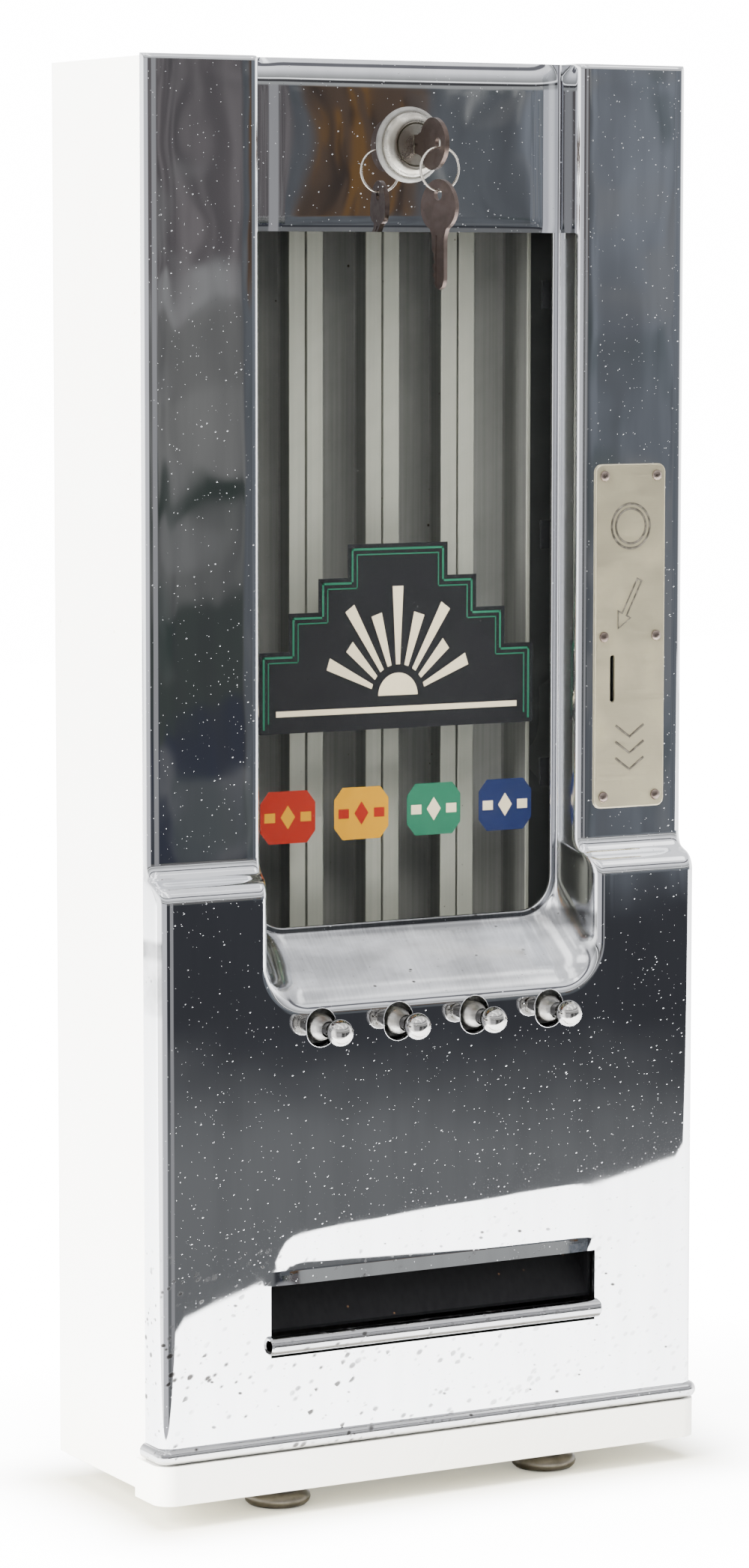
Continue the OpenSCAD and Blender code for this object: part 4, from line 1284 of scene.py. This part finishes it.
        rows = []
        for v in (0.5 - 0.5 * math.cos(math.pi * k / 30) for k in range(31)):
            z = z0 + (z1 - z0) * v
            row = [(-h, hem, z)]
            for u in (math.sin(math.pi / 2 * k / 24) for k in range(-24, 25)):
                x = h * u
                fall = drop(h - abs(x), *self.side_fall) + drop(z1 - z, *self.top_fall)
                fall = min(fall + drop(z - z0, *self.low_fall), self.most_fall)
                row.append((x, self.y_header + fall - self.crown * (1 - u * u) * 4 * v * (1 - v), z))
            rows.append(row + [(h, hem, z)])
        below = [(x, self.y_floor + self.header_turn, z0) for x, *_ in rows[0]]
        above = [(x, self.y_flange, z1) for x, *_ in rows[-1]]
        return grid(list(reversed([below] + rows + [above])))

    def sheet_of(self, name: str, part: Part) -> Thing:
        """A sheet of the cover's thickness behind a surface."""
        thing = settle(solid(name, part, COVER_CHROME), outward=False)
        return settle(thickened(thing, self.sheet, -1.0), outward=False)

    def hole(self, x: float, more: float = 0.0) -> list[Flat]:
        """Outline of a plunger's hole, or of an oval a little larger, as x and z."""
        return oval(x, PLUNGER_Z, self.hole_r + more, self.hole_long)

    def shell(self) -> Thing:
        """The pressed front around the window, with its holes."""
        sections, side, across = self.right_sections()
        right = grid(sections)
        lower, zs = self.lower_front(across)
        strip = self.side_strip(side + [Vector((self.half - self.side_roll, self.y_low, z)) for z in zs[1:]])
        thing = self.sheet_of("front_shell_bright",
                              join_parts([right, mirrored(right), strip, mirrored(strip), lower]))
        cuts = [prism("cut_hole", self.hole(x), self.y_low - 6, self.y_low + 8, COVER_CHROME)
                for x in PLUNGER_XS]
        cuts.append(prism("cut_coin", coin_slot(), self.y_up - 4, self.y_up + 6, COVER_CHROME))
        return weighted(carved(thing, cuts, outward=False))

    def tube(self) -> Thing:
        """Rolled lip below the slot, with its open ends."""
        end, y = self.slot_half + 0.9, self.y_low - 0.6
        half = [(2.2, 5 - end), (2.2, -end), (3.2, -end - 0.5), (self.tube_r, 0.3 - end)]
        profile = half + [(r, -t) for r, t in reversed(half)]
        rows = [[(t, y + r * c, self.tube_z + r * s) for r, t in profile] for c, s in circle(40)]
        return settle(solid("slot_lip", grid(rows, close=True), LIP_CHROME))

    def build(self) -> None:
        """Builds the cover's pieces."""
        rims = [[(x, self.y_low - 0.05, z) for x, z in self.hole(at, 0.1)] for at in PLUNGER_XS]
        bead = [(x, y, self.bead_z) for x, y in (
            (-self.bead_x, self.y_edge), (-self.bead_x, self.bead_y),
            (self.bead_x, self.bead_y), (self.bead_x, self.y_edge))]
        place(self.shell(), Body.COVER, Slot.COVER, "front_shell")
        for thing in (weighted(self.sheet_of("header_panel", self.header_part())),
                      swept("plunger_hole_rims", rims, 0.12, COVER_CHROME, closed=True, sides=12),
                      swept("bottom_bead", [bead], self.bead_r, SHADED_BEAD_CHROME, fillet=3.0, sides=28),
                      self.tube()):
            place(thing, Body.COVER, Slot.COVER)


@dataclass
class PrintedWindow:
    """Window pane with a printed stepped field and a row of plain tabs on its back."""

    gap: float = 0.05
    ink: float = 0.02
    field_low: float = 322.0
    sun_z: float = 336.0
    sun_r: float = 9.5
    tab_z: float = 287.0
    steps: tuple[Flat, ...] = ((66, 0), (66, 34), (52, 34), (52, 50), (38, 50), (38, 64), (24, 64), (24, 78))

    def flat(self, name: str, ink: str, shapes: Sequence[Sequence[Flat]], layer: int) -> None:
        """Prints flat shapes.

        Args:
            name: the piece's name.
            ink: key of the ink.
            shapes: outlines as x and z, in millimetres.
            layer: 0 for the layer nearest the pane.
        """
        y = box_mm("window_glass")[1].y + self.gap * (1 + layer)
        part = join_parts(([(x, y, z) for x, z in shape], [list(range(len(shape)))]) for shape in shapes)
        place(settle(thickened(solid(name, part, INKS[ink]), self.ink, 0.0)), Body.COVER, Slot.GLASS)

    def lines(self, inset: float, wide: float) -> list[list[Flat]]:
        """Line along the inside of the stepped field.

        Args:
            inset: distance from the field's edge.
            wide: width of the line.

        Returns:
            The strips that make it up.
        """
        outer = [(x - inset, self.field_low + z - (inset if k else -inset))
                 for k, (x, z) in enumerate(self.steps)]
        strips = []
        for (xa, za), (xb, zb) in zip(outer, outer[1:]):
            for s in (1, -1):
                strips.append(rect(s * xa, za, s * (xa - wide), zb) if abs(xa - xb) < 0.01
                              else rect(s * xa, za, s * xb, za - wide))
        xt, zt = outer[-1]
        return strips + [rect(-xt, zt, xt, zt - wide)]

    def ray(self, number: int, start: float = 13, near: float = 1.0, far: float = 2.6) -> list[Flat]:
        """One ray of the rising sun.

        Args:
            number: its number, from the right.
            start: radius where it starts.
            near: half its width there.
            far: half its width at its end.

        Returns:
            Its corners.
        """
        a = math.radians(18 + 18 * number)
        c, s = math.cos(a), math.sin(a)
        tall = 36 if number % 2 else 46
        wide = tall * (1.0 - 0.25 * abs(c))
        corners = ((start, start, near), (start, start, -near), (wide, tall, -far), (wide, tall, far))
        return [(c * rx - s * w, self.sun_z + s * rz + c * w) for rx, rz, w in corners]

    def build(self) -> None:
        """Builds the prints and dresses the pane."""
        dress(PANE, "window_glass")
        z0, z = self.field_low, self.tab_z
        right = [(x, z0 + up) for x, up in self.steps]
        self.flat("print_field", "black", [right + [(-x, up) for x, up in reversed(right)]], 2)
        self.flat("print_lines", "green", self.lines(1.8, 0.9) + self.lines(4.2, 0.5), 1)
        half_turn = [math.pi * k / 24 for k in range(25)]
        disc = [(self.sun_r * math.cos(a), self.sun_z + self.sun_r * math.sin(a)) for a in half_turn]
        bar = rect(-58, z0 + 7.0, 58, z0 + 9.4)
        self.flat("print_fan", "cream", [self.ray(k) for k in range(9)] + [disc, bar], 0)
        corners = [(-13, -6), (-9, -11), (9, -11), (13, -6), (13, 6), (9, 11), (-9, 11), (-13, 6)]
        for ink, x, other in (("red", -52.5, "yellow"), ("yellow", -17.5, "red"),
                              ("green", 17.5, "cream"), ("navy", 52.5, "cream")):
            self.flat(f"print_tab_{ink}", ink, [[(x + dx, z + dz) for dx, dz in corners]], 2)
            marks = [[(x, z - 5), (x + 3.4, z), (x, z + 5), (x - 3.4, z)]]
            marks += [rect(x + s * 6, z - 2, x + s * 11, z + 2) for s in (-1, 1)]
            self.flat(f"print_mark_{ink}", other, marks, 1)


@dataclass
class CoinPlate:
    """Coin plate with a soft rim, stamped marks and six round rivets."""

    rim: float = 0.7
    corner: float = 3.5
    sunk: float = 0.35
    rivet_r: float = 2.3
    rivet_h: float = 1.3
    rivet_x: float = 13.0
    rivet_z: float = 68.4

    def __post_init__(self) -> None:
        """Reads the plate's place."""
        self.low, self.high = box_mm("coin_plate")
        self.mid = (self.low + self.high) / 2

    def build(self) -> None:
        """Builds plate, marks and rivets."""
        place(self.plate(), Body.COVER, Slot.PLATE, "coin_plate")
        self.marks()
        self.rivets()

    def plate(self) -> Thing:
        """Plate with rounded corners, soft edges and its slot."""
        low, high, r = self.low, self.high, self.corner
        corners = ((high.x - r, low.z + r, -90), (high.x - r, high.z - r, 0), (low.x + r, high.z - r, 90),
                   (low.x + r, low.z + r, 180))
        outline = [(x + r * math.cos(a), z + r * math.sin(a)) for x, z, start in corners
                   for a in (math.radians(start + 15 * k) for k in range(7))]
        thing = prism("coin_plate_soft", outline, low.y, high.y, PLATE_NICKEL, self.rim)
        thing.modifiers.clear()
        return weighted(carved(thing, [prism("cut_slot", coin_slot(), low.y - 2, high.y + 2, STAMP_AND_SHADOW)]))

    def marks(self) -> None:
        """Stamped outlines: a coin, an arrow to the slot and three chevrons."""
        x, z, y = self.mid.x, self.mid.z, self.low.y + self.sunk
        coin = [[(x + r * c, y, z + 47 + r * s) for c, s in circle(48)] for r in (9.5, 7.4)]
        tip, tail = Vector((x - 6.0, z + 3.5)), Vector((x + 4.5, z + 24.0))
        along = (tip - tail).normalized()
        side = Vector((-along.y, along.x))
        neck = tip - along * 6.6
        half = [tail + side * 1.2, neck + side * 1.2, neck + side * 3.5]
        arrow = half + [tip, neck - side * 3.5, neck - side * 1.2, tail - side * 1.2]
        chevrons = [[(x - 7, y, z - 38 - 7 * k), (x, y, z - 43 - 7 * k), (x + 7, y, z - 38 - 7 * k)]
                    for k in range(3)]
        closed = coin + [[(p.x, y, p.y) for p in arrow]]
        place(swept("stamped_marks", closed, 0.66, STAMP_AND_SHADOW, closed=True, sides=8), Body.COVER, Slot.PLATE)
        place(swept("stamped_chevrons", chevrons, 0.72, STAMP_AND_SHADOW, sides=8), Body.COVER, Slot.PLATE)

    def rivets(self) -> None:
        """Round rivet heads on the plate."""
        r, h = self.rivet_r, self.rivet_h
        spots = [(self.mid.x + s * self.rivet_x, self.low.y, self.mid.z + k * self.rivet_z)
                 for s in (-1, 1) for k in (-1, 0, 1)]
        dome = [(r * math.cos(math.pi / 2 * k / 8), -h * math.sin(math.pi / 2 * k / 8)) for k in range(8)]
        profile = [(0.0, 3.7), (1.2, 3.7), (1.2, 0.05), (r, 0.05)] + dome + [(0.0, -h)]
        one = lathe("rivet_form", profile, (0.0, 0.0), RIVET_NICKEL, 28)
        place(repeated("coin_plate_rivets", one, spots, RIVET_NICKEL), Body.COVER, Slot.NICKEL, "coin_rivets")


@dataclass
class LockSet:
    """Stepped lock bezel, plug and the keys on their split ring."""

    z: float = 565.4
    bore: float = 8.55
    stand: float = 6.0
    bow: float = 10.8
    spare_turn: float = 102.0
    ring_r: float = 9.0
    wire: float = 0.42

    def build(self) -> None:
        """Builds the lock and keys."""
        low, high = box_mm("lock_housing")
        self.bezel(low.y + self.stand, high.y)
        dress(NICKEL, "lock_plug", "lock_nut")
        way = rect(-1.3, self.z - 4.0, 1.3, self.z + 4.0)
        # A dark block in the keyway, in the stamped-lines finish, is painted shade.
        place(prism("keyway_shadow", way, low.y - 0.03, low.y + 0.4, STAMP_AND_SHADOW, 0.1), Body.PLUG, Slot.NICKEL)
        self.keys()
        self.ring()

    def bezel(self, base: float, back: float) -> None:
        """Frosted flange and stepped housing.

        Args:
            base: depth of the face that they stand on.
            back: depth of the housing's end.
        """
        flange = [(r, base - t) for r, t in (
            (13.2, 0.0), (15.6, 0.0), (15.7, 0.5), (15.4, 1.2), (14.6, 1.6), (13.9, 1.7), (13.5, 1.5),
            (13.2, 0.0))]
        steps = [(r, base - t) for r, t in (
            (11.0, 0.0), (13.6, 0.0), (13.6, 1.9), (13.5, 2.2), (13.2, 3.4), (12.6, 4.4), (11.7, 5.2),
            (10.7, 5.8), (9.9, 6.0), (9.2, 5.8), (8.9, 5.2), (self.bore, 5.0))]
        housing = [(self.bore, back), (11.0, back)] + steps + [(self.bore, back)]
        axis = (0.0, self.z)
        place(lathe("lock_flange", flange, axis, FROSTED, 96), Body.COVER, Slot.NICKEL)
        place(lathe("lock_bezel", housing, axis, NICKEL, 96), Body.COVER, Slot.NICKEL, "lock_housing")

    def key_outline(self) -> list[Flat]:
        """Outline of a hanging key, bow round the origin, as sideways and up."""
        bow = []
        for k in range(49):
            a = math.radians(-62 + 304 * k / 48)
            r = 10.7 * (1.0 + 0.02 * math.cos(3 * (a - math.pi / 2)))
            bow.append((r * math.cos(a), r * math.sin(a)))
        left = [(-3.9, -12.4), (-3.7, -14.6), (-3.7, -30.0), (-2.8, -33.0), (-0.6, -34.2)]
        teeth = [(1.4, -33.2), (2.4, -31.6), (1.9, -30.2), (3.2, -28.4), (2.2, -26.6), (3.5, -24.8),
                 (2.0, -23.0), (3.0, -21.4), (2.4, -19.8), (3.7, -18.0), (3.7, -14.6), (3.9, -12.4)]
        return bow + left + teeth

    def key(self, name: str, finish: Finish, at: Matrix) -> Thing:
        """One key with its eye and the grooves along its blade.

        Args:
            name: the piece's name.
            finish: its finish.
            at: place of the key, whose flat lies in the XZ plane.

        Returns:
            The key.
        """
        cuts = [prism("cut_key", outline, y0, y1, finish) for outline, y0, y1 in (
            (oval(0.0, 4.6, 2.4, 0.0, 28), -2.0, 2.0), (rect(-0.9, -33.0, 0.3, -12.0), -2.0, -0.55),
            (rect(0.2, -33.0, 1.4, -12.0), 0.55, 2.0))]
        thing = carved(prism(name, self.key_outline(), -1.0, 1.0, finish), cuts)
        settle(bevelled(thing, 0.3, 50, 2), 45.0)
        thing.data.transform(at)
        return weighted(thing)

    def keys(self) -> None:
        """The key in the lock and the spare on the ring."""
        upright = Matrix(((0, 1, 0, 0), (0, 0, -1, 0), (1, 0, 0, 0), (0, 0, 0, 1)))
        at = Matrix.Translation((0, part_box("key_main")[0].y + self.bow * MM, self.z * MM)) @ upright
        place(self.key("key_in_lock", KEY_BRONZE, at), Body.PLUG, Slot.KEY, "key_main")
        top, ring_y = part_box("spare_key")[1].z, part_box("key_ring")[0].y + 0.8 * MM
        spin = Matrix.Rotation(math.radians(self.spare_turn), 4, "Z")
        at = Matrix.Translation((0, ring_y, top - self.bow * MM)) @ spin
        place(self.key("key_on_ring", SPARE_METAL, at), Body.SPARE, Slot.SPARE, "spare_key")

    def ring(self) -> None:
        """Split ring: two close turns of wire."""
        mid = sum(box_mm("key_ring"), Vector()) / 2
        turns, n = [], 120
        for k in range(n + 1):
            a = math.tau * 1.9 * k / n + 0.4
            turns.append((self.ring_r * math.cos(a), mid.y + self.wire * (2 * k / n - 1),
                          mid.z + self.ring_r * math.sin(a)))
        place(swept("split_ring", [turns], self.wire, RING_STEEL, sides=10), Body.RING, Slot.RING, "key_ring")


@dataclass
class PlungerSet:
    """Four pull plungers with ball knobs, and their return springs."""

    ball_r: float = 5.5
    collar_in: float = 16.3
    turns: int = 9
    coil_r: float = 4.0
    wire: float = 0.45

    def build(self) -> None:
        """Builds plungers and springs."""
        for number, x in enumerate(PLUNGER_XS, 1):
            low, high = box_mm(f"plunger_{number}")
            ball = low.y + self.ball_r
            self.plunger(number, x, ball, ball + self.collar_in, high.y)
            self.spring(number, x)

    def plunger(self, number: int, x: float, ball: float, collar: float, back: float) -> None:
        """Ball and neck of one plunger, then its collar, rod and tail.

        Args:
            number: the plunger's number.
            x: its place across.
            ball: depth of the ball's middle.
            collar: depth of the collar.
            back: depth of the rod's end.
        """
        r, body = self.ball_r, Body(f"plunger_{number}")
        turn = [math.radians(6.2 * k) for k in range(1, 23)]
        knob = [(0.0, ball - r)] + [(r * math.sin(a), ball - r * math.cos(a)) for a in turn]
        knob += [(3.5, ball + 4.7), (3.4, ball + 6.5), (3.45, ball + 9.6), (0.0, ball + 9.7)]
        rod = [(0.0, ball + 9.6), (3.5, ball + 9.6)]
        rod += [(r, collar + t) for r, t in ((3.6, -4.9), (4.5, -2.9), (5.3, -1.0), (5.55, -0.3), (5.6, 0.4),
                                             (5.6, 6.3), (2.5, 6.35))]
        rod += [(2.5, back), (0.0, back)]
        place(lathe(f"knob_{number}", knob, (x, PLUNGER_Z), KNOB_CHROME, 48), body, Slot.KNOB)
        place(lathe(f"plunger_rod_{number}", rod, (x, PLUNGER_Z), COLLAR_NICKEL, 48), body, Slot.KNOB,
              f"plunger_{number}")

    def spring(self, number: int, x: float) -> None:
        """One wound return spring, fixed to the case.

        Args:
            number: the plunger's number.
            x: its place across.
        """
        low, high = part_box(f"spring_{number}")
        y0, y1 = low.y / MM + 0.5, high.y / MM - 0.5
        n = 24 * self.turns
        wire = [(x + self.coil_r * math.cos(a), y0 + (y1 - y0) * k / n, PLUNGER_Z + self.coil_r * math.sin(a))
                for k, a in ((k, math.tau * k / 24) for k in range(n + 1))]
        coil = place(swept(f"return_spring_{number}", [wire], self.wire, SPRING_STEEL, sides=8), Body.CASE,
                     Slot.SPRING, f"spring_{number}")
        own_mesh(coil)


@dataclass
class CaseSet:
    """Enamelled case and base, feet and everything inside the case."""

    case_edge: float = 0.45
    base_edge: float = 0.6
    column_edge: float = 0.35
    foot_r: float = 14.0

    def build(self) -> None:
        """Builds softened pieces and feet, and dresses the rest."""
        for node, name, edge, finish in (("case_box", "case_enamelled", self.case_edge, CASE_ENAMEL),
                                         ("base", "base_enamelled", self.base_edge, ENAMEL)):
            place(softened(node, name, edge, finish), Body.CASE, Slot.ENAMEL, node)
        self.feet()
        for k in range(1, 5):
            column = softened(f"column_{k}", f"gum_column_{k}", self.column_edge, TIN)
            place(column, Body.CASE, Slot.TIN, f"column_{k}")
        dress(RUBBER, "foot_necks")
        dress(DARK_SHEET, "magazine_plate", "coin_box")
        # The delivery chute and the glass clips are blackened as painted shade.
        dress(SHADOW_BLACK_SHEET, "delivery_chute", "glass_clips")
        dress(INNER_TIN, "vend_shelf", "plunger_guide", "coin_chute", "latch_keeper", "hinge_lugs",
              "hinge_rod", "lock_cam", *(f"ejector_{k}" for k in range(1, 5)))

    def feet(self) -> None:
        """Round glide cups."""
        low, high = box_mm("foot_glides")
        r, h = self.foot_r, high.z - low.z
        cup = [(0.0, 0.0), (r - 3.4, 0.0), (r - 1.7, 0.45), (r - 0.5, 1.6), (r, 3.1), (r - 0.3, 4.5),
               (r - 1.2, 5.6), (r - 2.4, 6.4), (r - 4.2, h), (0.0, h)]
        spots = [(x, y, 0.0) for x in (low.x + r, high.x - r) for y in (low.y + r, high.y - r)]
        one = lathe("glide_form", cup, (0.0, 0.0), GLIDE_METAL, 56, upright=True)
        place(repeated("glide_cups", one, spots, GLIDE_METAL), Body.CASE, Slot.NICKEL, "foot_glides")


@dataclass
class Studio:
    """Camera, floor, lights and surroundings."""

    eye: Point = (-0.9882, -1.76585, 0.5114)
    aim: Point = (-0.00101, 0.01175, 0.2967)
    roll: float = 0.04
    lens: float = 110.48
    lit: Point = (0.0, 0.0, 0.3)

    def build(self) -> None:
        """Builds the stage."""
        self.camera()
        self.floor()
        self.light("top_soft", (-0.2, -0.5, 2.4), (2.2, 1.4), 300.0)
        self.light("left_soft", (-2.4, -0.3, 1.2), (1.6, 1.8), 540.0)
        self.light("front_soft", (-0.6, -2.6, 2.2), (1.6, 0.9), 42.0)
        self.room()

    def camera(self) -> None:
        """Camera at the photograph's place."""
        data = bpy.data.cameras.new("camera")
        data.sensor_fit, data.sensor_width, data.lens = "AUTO", 36.0, self.lens
        data.clip_start, data.clip_end = 0.05, 60.0
        thing = linked("camera", data)
        look = (Vector(self.aim) - Vector(self.eye)).to_track_quat("-Z", "Y").to_matrix().to_4x4()
        roll = Matrix.Rotation(math.radians(self.roll), 4, "Z")
        thing.matrix_world = Matrix.Translation(self.eye) @ look @ roll
        bpy.context.scene.camera = thing

    def floor(self) -> None:
        """Pale table top with a painted shadow round the machine, which ends in front of it for reflections.
        """
        s = Shade("pale_floor")
        x, y, _ = s.axes
        beyond = (0.0 - y - (x * 0.83 + 0.344).at_most(x * 0.524 + 0.383)).step(-0.004, 0.004)
        aside, ahead = (abs(x) - 0.124).at_least(0.0), (0.0 - y - 0.036).at_least(y - 0.056).at_least(0.0)
        away = s.node("ShaderNodeMath", {"operation": "SQRT"}, {0: aside * aside + ahead * ahead})
        seen = s.node("ShaderNodeLightPath", None, None, "Is Camera Ray")
        # Painted contact shadow: a darker warm colour within 35 mm of the footprint, and the glow seen only
        # by the camera falls away near the machine.
        top = s.layered((0.92, 0.92, 0.915), (s.noise(2.0) * 0.3, (0.89, 0.89, 0.885)),
                        (away.step(0.035, 0.0), (0.66, 0.635, 0.53)))
        glow = s.layered((0.02, 0.02, 0.018), (away.step(0.0, 0.065), (0.45, 0.45, 0.445)),
                         (away.step(0.05, 0.45), (1.0, 1.0, 1.0)))
        s.feed(Base_Color=top, Roughness=0.8, Specular_IOR_Level=0.2, Alpha=1.0 - beyond * (1.0 - seen),
               Emission_Color=s.blend(seen, (0.0, 0.0, 0.0), glow), Emission_Strength=15.0)
        corners = [(a, b, 0) for a, b in rect(-4000, -4000, 4000, 4000)]
        mesh = bare_mesh("floor", corners, faces=[[0, 1, 2, 3]])
        mesh.materials.append(s.material)
        linked("floor", mesh)

    def light(self, name: str, at: Point, size: Flat, power: float) -> None:
        """Adds a soft light that faces the machine.

        Args:
            name: its name.
            at: its place in metres.
            size: width and height.
            power: watts.
        """
        data = bpy.data.lights.new(name, "AREA")
        data.shape, data.size, data.size_y, data.energy = "RECTANGLE", size[0], size[1], power
        thing = linked(name, data)
        thing.location = at
        thing.rotation_euler = (Vector(self.lit) - Vector(at)).to_track_quat("-Z", "Y").to_euler()
        thing.visible_glossy = False

    def dark_room(self, t: Paint) -> Sock:
        """What the bright front mirrors, told by direction.

        Args:
            t: the tree of the surroundings.

        Returns:
            The room's colour: for the left pilaster, the header and the right pilaster from left to right,
            for the lower front further down, and with bright strips above.
        """
        x, _, z = t.axes
        left, right = x.step(0.4645, 0.4625), x.step(0.514, 0.519)
        height = z + t.patches((60.0, 60.0, 9.0), 2.0, 0.3, 0.7) * 0.012 - 0.006
        header = x.band(0.468, 0.471, 0.514, 0.519) * z.step(-0.01, 0.0)
        warm = header * x.step(0.499, 0.490)
        blue = t.blend(height.step(-0.05, 0.02), (0.165, 0.18, 0.205), (0.23, 0.25, 0.285))
        shelves = ((0.2, (0.115, 0.105, 0.110)), (-0.004, (0.30, 0.30, 0.30)),
                   (-0.011, (0.175, 0.175, 0.172)),
                   (-0.028, (0.215, 0.215, 0.21)), (-0.044, (0.045, 0.058, 0.052)),
                   (-0.050, (0.145, 0.148, 0.145)), (-0.070, (0.060, 0.070, 0.066)),
                   (-0.092, (0.045, 0.050, 0.070)))
        low = t.blend(z.step(-0.152, -0.184), (0.048, 0.05, 0.058), (0.175, 0.18, 0.186))
        return t.layered(
            (0.125, 0.135, 0.150), (right, blue),
            *((left * height.step(at + 0.0015, at - 0.0015), tone) for at, tone in shelves),
            (t.patches((420.0, 420.0, 14.0), 3.0, 0.44, 0.60) * height.step(-0.02, 0.0) * left * 0.7,
             (0.235, 0.215, 0.22)),
            (t.patches((190.0, 190.0, 18.0), 3.0, 0.40, 0.70) * 0.45, (0.055, 0.055, 0.06)),
            (t.patches((28.0, 28.0, 40.0), 2.0, 0.54, 0.66) * 0.4, (0.24, 0.24, 0.24)),
            (t.patches((33.0, 33.0, 30.0), 2.0, 0.56, 0.68) * 0.4, (0.04, 0.06, 0.055)),
            (warm, (0.100, 0.072, 0.056)),
            (warm * t.patches((330.0, 330.0, 22.0), 2.0, 0.50, 0.58) * 0.8, (0.20, 0.108, 0.040)),
            (warm * t.patches((410.0, 410.0, 30.0), 2.0, 0.56, 0.64) * 0.7, (0.03, 0.028, 0.03)),
            (header * x.step(0.497, 0.502) * t.patches((300.0, 300.0, 24.0), 2.0, 0.54, 0.62) * 0.8,
             (0.36, 0.365, 0.36)),
            (z.step(-0.118, -0.132), low),
            (x.band(0.10, 0.17, 0.37, 0.42), (0.36, 0.36, 0.375)),
            (x.step(-0.18, -0.32), (0.85, 0.85, 0.90)),
            (z.step(0.055, 0.085), (0.42, 0.43, 0.43)),
            (z.band(0.105, 0.115, 0.140, 0.150), (0.07, 0.07, 0.075)),
            (z.band(0.155, 0.165, 0.185, 0.195), (1.9, 1.9, 1.92)))

    def room(self) -> None:
        """Surroundings: white for the camera and soft light, a dark room in front for reflections."""
        world = bpy.data.worlds.new("surroundings")
        bpy.context.scene.world = world
        world.use_nodes = True
        t = Paint(world.node_tree, "Generated")
        _, y, z = t.axes
        sky = t.layered(
            (3.6, 3.6, 3.6), (z.step(0.20, 0.55), (1.45, 1.46, 1.50)),
            (z.step(0.45, 0.75) * t.patches((3.1, 4.3, 2.0), 1.0, 0.50, 0.62), (3.4, 3.4, 3.4)),
            (z.band(0.0, 0.3, 0.35, 0.60) * y.step(-0.10, -0.45), (1.1, 1.11, 1.15)),
            (z.band(0.50, 0.52, 0.58, 0.60) * y.step(-0.10, -0.30), (0.20, 0.20, 0.22)),
            (y.step(-0.20, -0.55) * z.band(-0.70, -0.45, 0.20, 0.42), self.dark_room(t)))
        seen = t.node("ShaderNodeLightPath", None, None, "Is Camera Ray")
        shade = t.node("ShaderNodeBackground", None, {"Color": t.blend(seen, sky, (16.0, 16.0, 16.0))})
        t.raw("ShaderNodeOutputWorld", None, {0: shade})


def main() -> None:
    """Builds every piece in order."""
    logging.basicConfig(level=logging.INFO, format="%(name)s: %(message)s")
    for part in (Studio(), FrontCover(), PrintedWindow(), CoinPlate(), LockSet(), PlungerSet(), CaseSet()):
        LOG.info("building %s", type(part).__name__)
        part.build()


if __name__ == "__main__":
    main()
